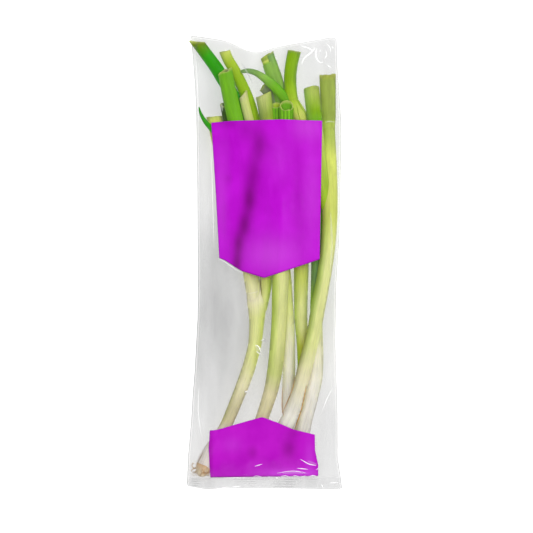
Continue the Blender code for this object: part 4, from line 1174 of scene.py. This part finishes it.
# Painted glints: the half width of each line in mm, and its points
CREASE_GLINTS = [
    (0.55, [(28.7, 173.5), (35.6, 171.4), (37.8, 168.7), (32.2, 164), (29.6, 158.8)]),
    (0.38, [(40.6, 172.2), (39.4, 170.2), (37.9, 168.8)]),
    (0.55, [(41.9, 171.4), (41, 166.6), (42.4, 162.2), (44.8, 160.1), (47, 160.5)]),
    (0.34, [(44.6, 170.5), (44.4, 168.4)]),
    (0.42, [(49.1, 169.6), (49.7, 166.2), (48.2, 163.1)]),
    (0.46, [(53.8, 173.1), (55.4, 171.4)]),
    (0.42, [(50, 158.3), (53.4, 155.8)]),
    (0.34, [(-7.4, -66.0), (-4.8, -67.0), (-2.8, -71.4)]),
    (0.26, [(-6.6, -70.6), (-4.6, -72.6), (-2.8, -73.2)]),
    (0.3, [(-9.2, -171.7), (-6.4, -170.9), (-2.2, -171.8)]), (0.26, [(2.6, -171.4), (5.6, -171.7)]),
    (0.34, [(8.6, -172.3), (11.2, -172.8)]), (0.3, [(13.4, -171.2), (16.6, -170.7), (19.4, -171.4)]),
    (0.36, [(22.4, -171.2), (24.2, -170.5), (27.4, -171.4)]), (0.28, [(29.4, -171.6), (33, -170.8)]),
    (0.34, [(35.8, -171.4), (38.4, -170.6), (41.6, -171.0)]), (0.3, [(41.4, -166), (43.2, -164.6)]),
    (0.22, [(-32.6, -172.6), (-18, -172.4), (-12, -172.4)]),
    (0.25, [(-3.2, -62.6), (0, -61)]),
    (0.35, [(-15.6, -103.6), (-13.4, -102.6)]),
    (0.26, [(2.4, -44.6), (3, -45.4)]),
    (0.42, [(28.7, -157.3), (35.6, -161.2), (41.3, -162.5)]),
    (0.34, [(26, -164.6), (34.8, -165.5)]),
    (0.30, [(-7.8, -163), (-1.7, -161.2)]),
    (0.24, [(10, -168.6), (22, -166.9), (33, -168.2)]),
    (0.40, [(-25.8, -179.9), (-19, -179.2)]),
    (0.2, [(-37.4, 3.2), (-32.4, 0.8), (-23.2, -5.4), (-18.4, -8.2)]),
    (0.15, [(-40.4, 12), (-41.2, 40), (-42.2, 74), (-43.4, 96)]),
    (0.3, [(49.6, 175.6), (52.4, 172.2), (53.0, 168.4)]),
    (0.40, [(45.6, -177.7), (47, -180.4)]),
    (0.40, [(52.2, -176.6), (58.8, -176.4)]),
    (0.22, [(-50.5, -139), (-53, -120), (-52.5, -100)]),
    (0.24, [(46.4, -118), (50.4, -108), (54.6, -101)]),
    (0.20, [(-55.6, 172), (-53.6, 140), (-52.6, 110)]),
]


print("creases:", len(CREASE_GLINTS))


# %% Lines that lie on the film
def film_height(x, y):
    """Height of the film's top at any place, read linearly between the four grid points round it."""
    rows = np.interp(y, film_rows + SEAL_LINE, np.arange(len(film_rows)))
    low_row = np.minimum(rows.astype(int), len(film_rows) - 2)
    heights = []
    for row in (low_row, low_row + 1):
        columns = np.array([np.interp(px, film_x[r], np.arange(FILM_COLUMNS)) for px, r in zip(x, row)])
        low = np.minimum(columns.astype(int), FILM_COLUMNS - 2)
        part = columns - low
        heights.append(film_top[row, low] * (1 - part) + film_top[row, low + 1] * part)
    part = rows - low_row
    return heights[0] * (1 - part) + heights[1] * part


def crease(half_width, points):
    """A slim tube on the film: its width follows a half sine, so that it fades out at both ends."""
    route = smooth_route(np.array(points) * MM, LINE_STEP)
    x, y = route[:, 0], route[:, 1]
    z = film_height(x, y) + CREASE_LIFT + PANEL_TOP * (y < PANEL_LINE) * (abs(x) < PANEL_HALF)
    wide = half_width * MM * np.sin(np.pi * np.linspace(0.06, 0.94, len(route)))
    return small_tube(np.column_stack([x, y, z, wide, 0.4 * wide]), CREASE_SIDES, (1.0, 1.0, 0.0))


def painted_glint_lines(name, lines, roughness, specular, glow, alpha):
    """Painted glints: lines on the film in a white that glows a little, because a lit white stays greyer
    than a glint.
    """
    material, _, _ = plain_material(name[:-1], {
        "Base Color": (1, 1, 1, 1), "Roughness": roughness, "Specular IOR Level": specular,
        "Alpha": alpha, "Emission Color": (1, 1, 1, 1), "Emission Strength": glow})
    build_piece(name, [crease(*line) for line in lines], material, ["film_bag"])


painted_glint_lines("film_creases", CREASE_GLINTS, 0.2, 1.0, 0.3, 0.8)

# %% Patches where the film clings, as painted highlights
CLING_HIGHLIGHTS = [
    (1.3, [(-7.2, -65.8), (-5.4, -68.8), (-4.2, -72.6)]), (0.9, [(-4.0, -67.2), (-3.2, -70.8)]),
    (1.0, [(-16.2, -102.0), (-13.8, -104.6)]), (1.1, [(-0.6, -60.6), (1.2, -63.8)]),
    (1.0, [(-34.2, 127), (-33.6, 121)]),
    (1.2, [(34.4, -158.6), (39.4, -161.0), (42.2, -161.6)]),
    (1.3, [(14, -168.6), (24, -167.6), (34, -168.8)]),
    (0.7, [(48.4, 112.0), (52, 112.8), (56.4, 112.2)]),
    (1.1, [(52.8, 40), (53.6, 18), (52.6, -8)]), (0.8, [(-18.6, 160.2), (-12.4, 149), (-9.6, 143)]),
]
painted_glint_lines("film_clings", CLING_HIGHLIGHTS, 0.3, 0.5, 0.25, 0.1)

# %% [markdown]
# The panels are ink printed on the film, so they follow every fold of it. Painting them as a mask on
# the film's material would work too, but a panel is a part of its own with its own finish, so each is
# a thin sheet a tenth of a millimetre above the film. Its grid is spread between its four given
# edges.

# %% Outlines of the panels
PANEL_LIFT = 0.16 * MM
PANEL_THICKNESS = 0.08 * MM
PANEL_STEP = 1.0 * MM
# How strong the darker line along each panel's lower edge is
EDGE_SHADE = 0.7
UPPER_PANEL = {
    "bottom": [(-36.2, 3.5), (-31.5, 1.6), (-22.5, -4.3), (-18.2, -6.9), (-11.2, -9.1), (-0.3, -12.4),
               (44, 2.4)],
    "right": [(44, 2.4), (45.1, 59), (46.1, 113.2)],
    "top": [(-42.6, 111.7), (-29.4, 113), (1.8, 113.9), (14, 114.3), (27.8, 113.7), (46.1, 113.2)],
    "left": [(-36.2, 3.5), (-39.2, 59), (-42.6, 111.7)],
}
LOWER_PANEL = {
    "bottom": [(-43.4, -172.2), (43, -171)],
    "right": [(43, -171), (43, -162), (40.4, -150), (40.3, -137.6)],
    "top": [(-43.8, -134.4), (-37, -133.6), (-19.6, -128.4), (-1.9, -123.4), (10.5, -127.8),
            (23.5, -133.4), (40.3, -137.6)],
    "left": [(-43.4, -172.2), (-44.6, -148.3), (-43.8, -134.4)],
}


# %% Spread a sheet between four edges
def edge_points(points, count):
    """Even places along a run of straight lines."""
    p = np.array(points) * MM
    at = np.linspace(0, walked(p)[-1], count)
    return np.stack([np.interp(at, walked(p), p[:, k]) for k in range(2)], axis=-1)


def spread_between(edges, columns, rows):
    """A Coons patch: the blend of left and right edges, plus that of bottom and top, less the corners'."""
    bottom, top = (edge_points(edges[side], columns)[None] for side in ("bottom", "top"))
    left, right = (edge_points(edges[side], rows)[:, None] for side in ("left", "right"))
    u, v = np.linspace(0, 1, columns)[None, :, None], np.linspace(0, 1, rows)[:, None, None]
    corners = ((1 - u) * (1 - v) * bottom[:, :1] + u * (1 - v) * bottom[:, -1:]
               + (1 - u) * v * top[:, :1] + u * v * top[:, -1:])
    return (1 - u) * left + u * right + (1 - v) * bottom + v * top - corners


# %% Shades on the ink
# They lie where the film turns away from the light or towards it: x, y and reach along each in
# mm, then the strength, which is below zero for a glow
UPPER_SHADES = [
    (-4, 94, 6, 14, 0.5), (-9, 72, 6, 14, 0.45), (-12.2, 50, 5.5, 13, 0.75), (-16, 30, 5, 10, 0.7),
    (-20.6, 14, 4.6, 11, 0.8), (-22, -2, 4, 9, 0.75), (27, 60, 5, 50, 0.16), (34, 108, 12, 10, -0.6),
    (6, 6, 22, 14, -0.75), (-30, 112, 9, 5, 0.3), (-14, 106, 8, 10, 0.25), (-35, 50, 5, 40, -0.4),
    (38, 60, 7, 34, -0.35), (12, 84, 9, 16, -0.2), (-29.6, 67, 3.6, 3.6, 0.16)]
LOWER_SHADES = [
    (19.6, -149, 6, 8, 0.5), (23, -136, 5, 5, 0.3), (-9.6, -152, 4, 5, 0.35), (20, -169, 26, 3.6, -0.9),
    (-26, -146, 8, 6, -0.3), (36, -158, 4, 14, -0.5), (-43, -155, 1.6, 20, 0.4)]


def shade_masks(plan, shades):
    """Two masks: the sum of bell curves for shade, and for glow, each clipped to the range from 0 to 1."""
    total = np.zeros(plan.shape[:2] + (2,))
    for x, y, wide, long, strength in shades:
        bell = np.exp(-((plan[..., 0] / MM - x) / wide) ** 2 - ((plan[..., 1] / MM - y) / long) ** 2)
        total[..., int(strength < 0)] += abs(strength) * bell
    return np.dstack([np.clip(total, 0, 1), np.zeros(plan.shape[:2])])


# %% Ink and panels
def panel(name, edges, shades, material, node):
    """A sheet of ink over the film: the spread of its edges, lifted to the film's height."""
    wide, long = np.abs(np.array(edges["top"][-1]) - edges["bottom"][0]) * MM / PANEL_STEP
    plan = spread_between(edges, int(wide), int(long))
    z = film_height(plan[..., 0].ravel(), plan[..., 1].ravel()).reshape(plan.shape[:2])
    masks = shade_masks(plan, shades)
    masks[0, :, 0] = np.maximum(masks[0, :, 0], EDGE_SHADE)
    sheet = patch(np.dstack([plan, z + PANEL_LIFT]), False, masks)
    thicken(build_piece(name, [sheet], material, [node]), PANEL_THICKNESS, 1.0)


def ink_material(name, darker, lighter):
    """Purple ink: a slow mottle between two purples, then the shade and glow masks, and a fine relief."""
    made, tree, shader = plain_material(name, {"Roughness": 0.38, "Specular IOR Level": 0.12})
    mottle = noise_on(tree, object_place(tree), (45, 45, 45), 3.0)
    ramp = add_node(tree, "ValToRGB", {0: mottle})
    for element, position, ink in zip(ramp.color_ramp.elements, (0.3, 0.7), (darker, lighter)):
        element.position, element.color = position, (*linear(*ink), 1)
    masks = add_node(tree, "SeparateColor", {0: tint_of(tree)}).outputs
    colour = ramp.outputs[0]
    for mask, ink in zip(masks, (SHADED_INK, GLOWING_INK)):
        mix = add_node(tree, "Mix", {"A": colour, "B": (*linear(*ink), 1), "Factor": mask}, data_type="RGBA")
        colour = mix.outputs["Result"]
    wire(tree, shader, {"Base Color": colour})
    add_relief(tree, shader, mottle, 0.3, 0.15 * MM)
    return made


SHADED_INK, GLOWING_INK = (112, 0, 104), (214, 70, 232)
for place, edges, shades, inks in (
        ("upper", UPPER_PANEL, UPPER_SHADES, ((189, 4, 209), (204, 18, 226))),
        ("lower", LOWER_PANEL, LOWER_SHADES, ((190, 9, 202), (205, 28, 216)))):
    ink = ink_material("purple_ink_" + place, *inks)
    panel("panel_" + place, edges, shades, ink, "label_" + place)

# %% [markdown]
# The bunch lies on a plain white floor under large soft lights. The main light stands to the right,
# so the stems shade off towards their left edges. A light straight above fills the whole, and the film
# doesn't mirror it, as it would lie on the bag as a grey sheet. The camera looks straight down
# through a long lens from far away, which keeps the two sides of the bunch free of perspective.

# %% Floor
# The floor is a light table, so the gaps between the stems stay bright
FLOOR_GREY = 0.6
FLOOR_GLOW = 0.76
FLOOR_REACH = 1.6
FLOOR_DROP = 0.3 * MM


def floor():
    """A flat square a little below the object."""
    mesh = bpy.data.meshes.new("floor")
    corners = [(x * FLOOR_REACH, y * FLOOR_REACH, -FLOOR_DROP)
               for x, y in ((-1, -1), (1, -1), (1, 1), (-1, 1))]
    mesh.from_pydata(corners, [], [(0, 1, 2, 3)])
    made, _, _ = plain_material("floor_white", {
        "Roughness": 0.9, "Specular IOR Level": 0.0, "Base Color": (FLOOR_GREY,) * 3 + (1,),
        "Emission Color": (1, 1, 1, 1), "Emission Strength": FLOOR_GLOW})
    mesh.materials.append(made)
    piece = bpy.data.objects.new("floor", mesh)
    bpy.context.scene.collection.objects.link(piece)


floor()

# %% Lights
# Each light's place and size in metres, and its power in watts
LIGHTS = {"key_right": ((0.8, 0.85, 1.6), 1.2, 13.4), "fill_left": ((-1.5, -0.2, 0.9), 1.2, 2.6),
          "overhead": ((0.1, 0.1, 2.0), 1.0, 13.6), "fill_top": ((0.1, 1.6, 0.9), 1.0, 4),
          "fill_foot": ((0.1, -1.6, 0.7), 1.0, 6)}
UNMIRRORED = "overhead"
ROOM_LIGHT = 0.22


def area_light(name, place, size, watts):
    """A square soft light that faces the middle of the bunch."""
    data = bpy.data.lights.new(name, "AREA")
    data.size = size
    data.energy = watts
    made = bpy.data.objects.new(name, data)
    bpy.context.scene.collection.objects.link(made)
    made.location = place
    x, y, z = place
    made.rotation_euler = (math.atan2(math.hypot(x, y), z), 0, math.atan2(-y, -x) - math.pi / 2)
    made.visible_glossy = name != UNMIRRORED


for name, (place, size, watts) in LIGHTS.items():
    area_light(name, place, size, watts)
print("light in all:", sum(watts for _, _, watts in LIGHTS.values()), "W")
world = bpy.data.worlds.new("room")
world.use_nodes = True
wire(world.node_tree, world.node_tree.nodes["Background"], {"Color": (1, 1, 1, 1), "Strength": ROOM_LIGHT})
bpy.context.scene.world = world
bpy.context.scene.view_settings.view_transform = "Standard"

# %% Camera
PHOTO_PIXELS = 533
BUNCH_MIDDLE = (264.5, 262.5)
PIXEL = 0.8 * MM
SENSOR = 36.0
LENS = 400.0
MIDDLE_HEIGHT = 10 * MM
aside, down = ((PHOTO_PIXELS / 2 - pixels) * PIXEL for pixels in BUNCH_MIDDLE)
camera_data = bpy.data.cameras.new("camera")
camera_data.sensor_width = SENSOR
camera_data.lens = LENS
camera = bpy.data.objects.new("camera", camera_data)
camera.location = (aside, -down, MIDDLE_HEIGHT + PHOTO_PIXELS * PIXEL * LENS / SENSOR)
bpy.context.scene.collection.objects.link(camera)
bpy.context.scene.camera = camera
print("camera height:", round(camera.location.z, 3))
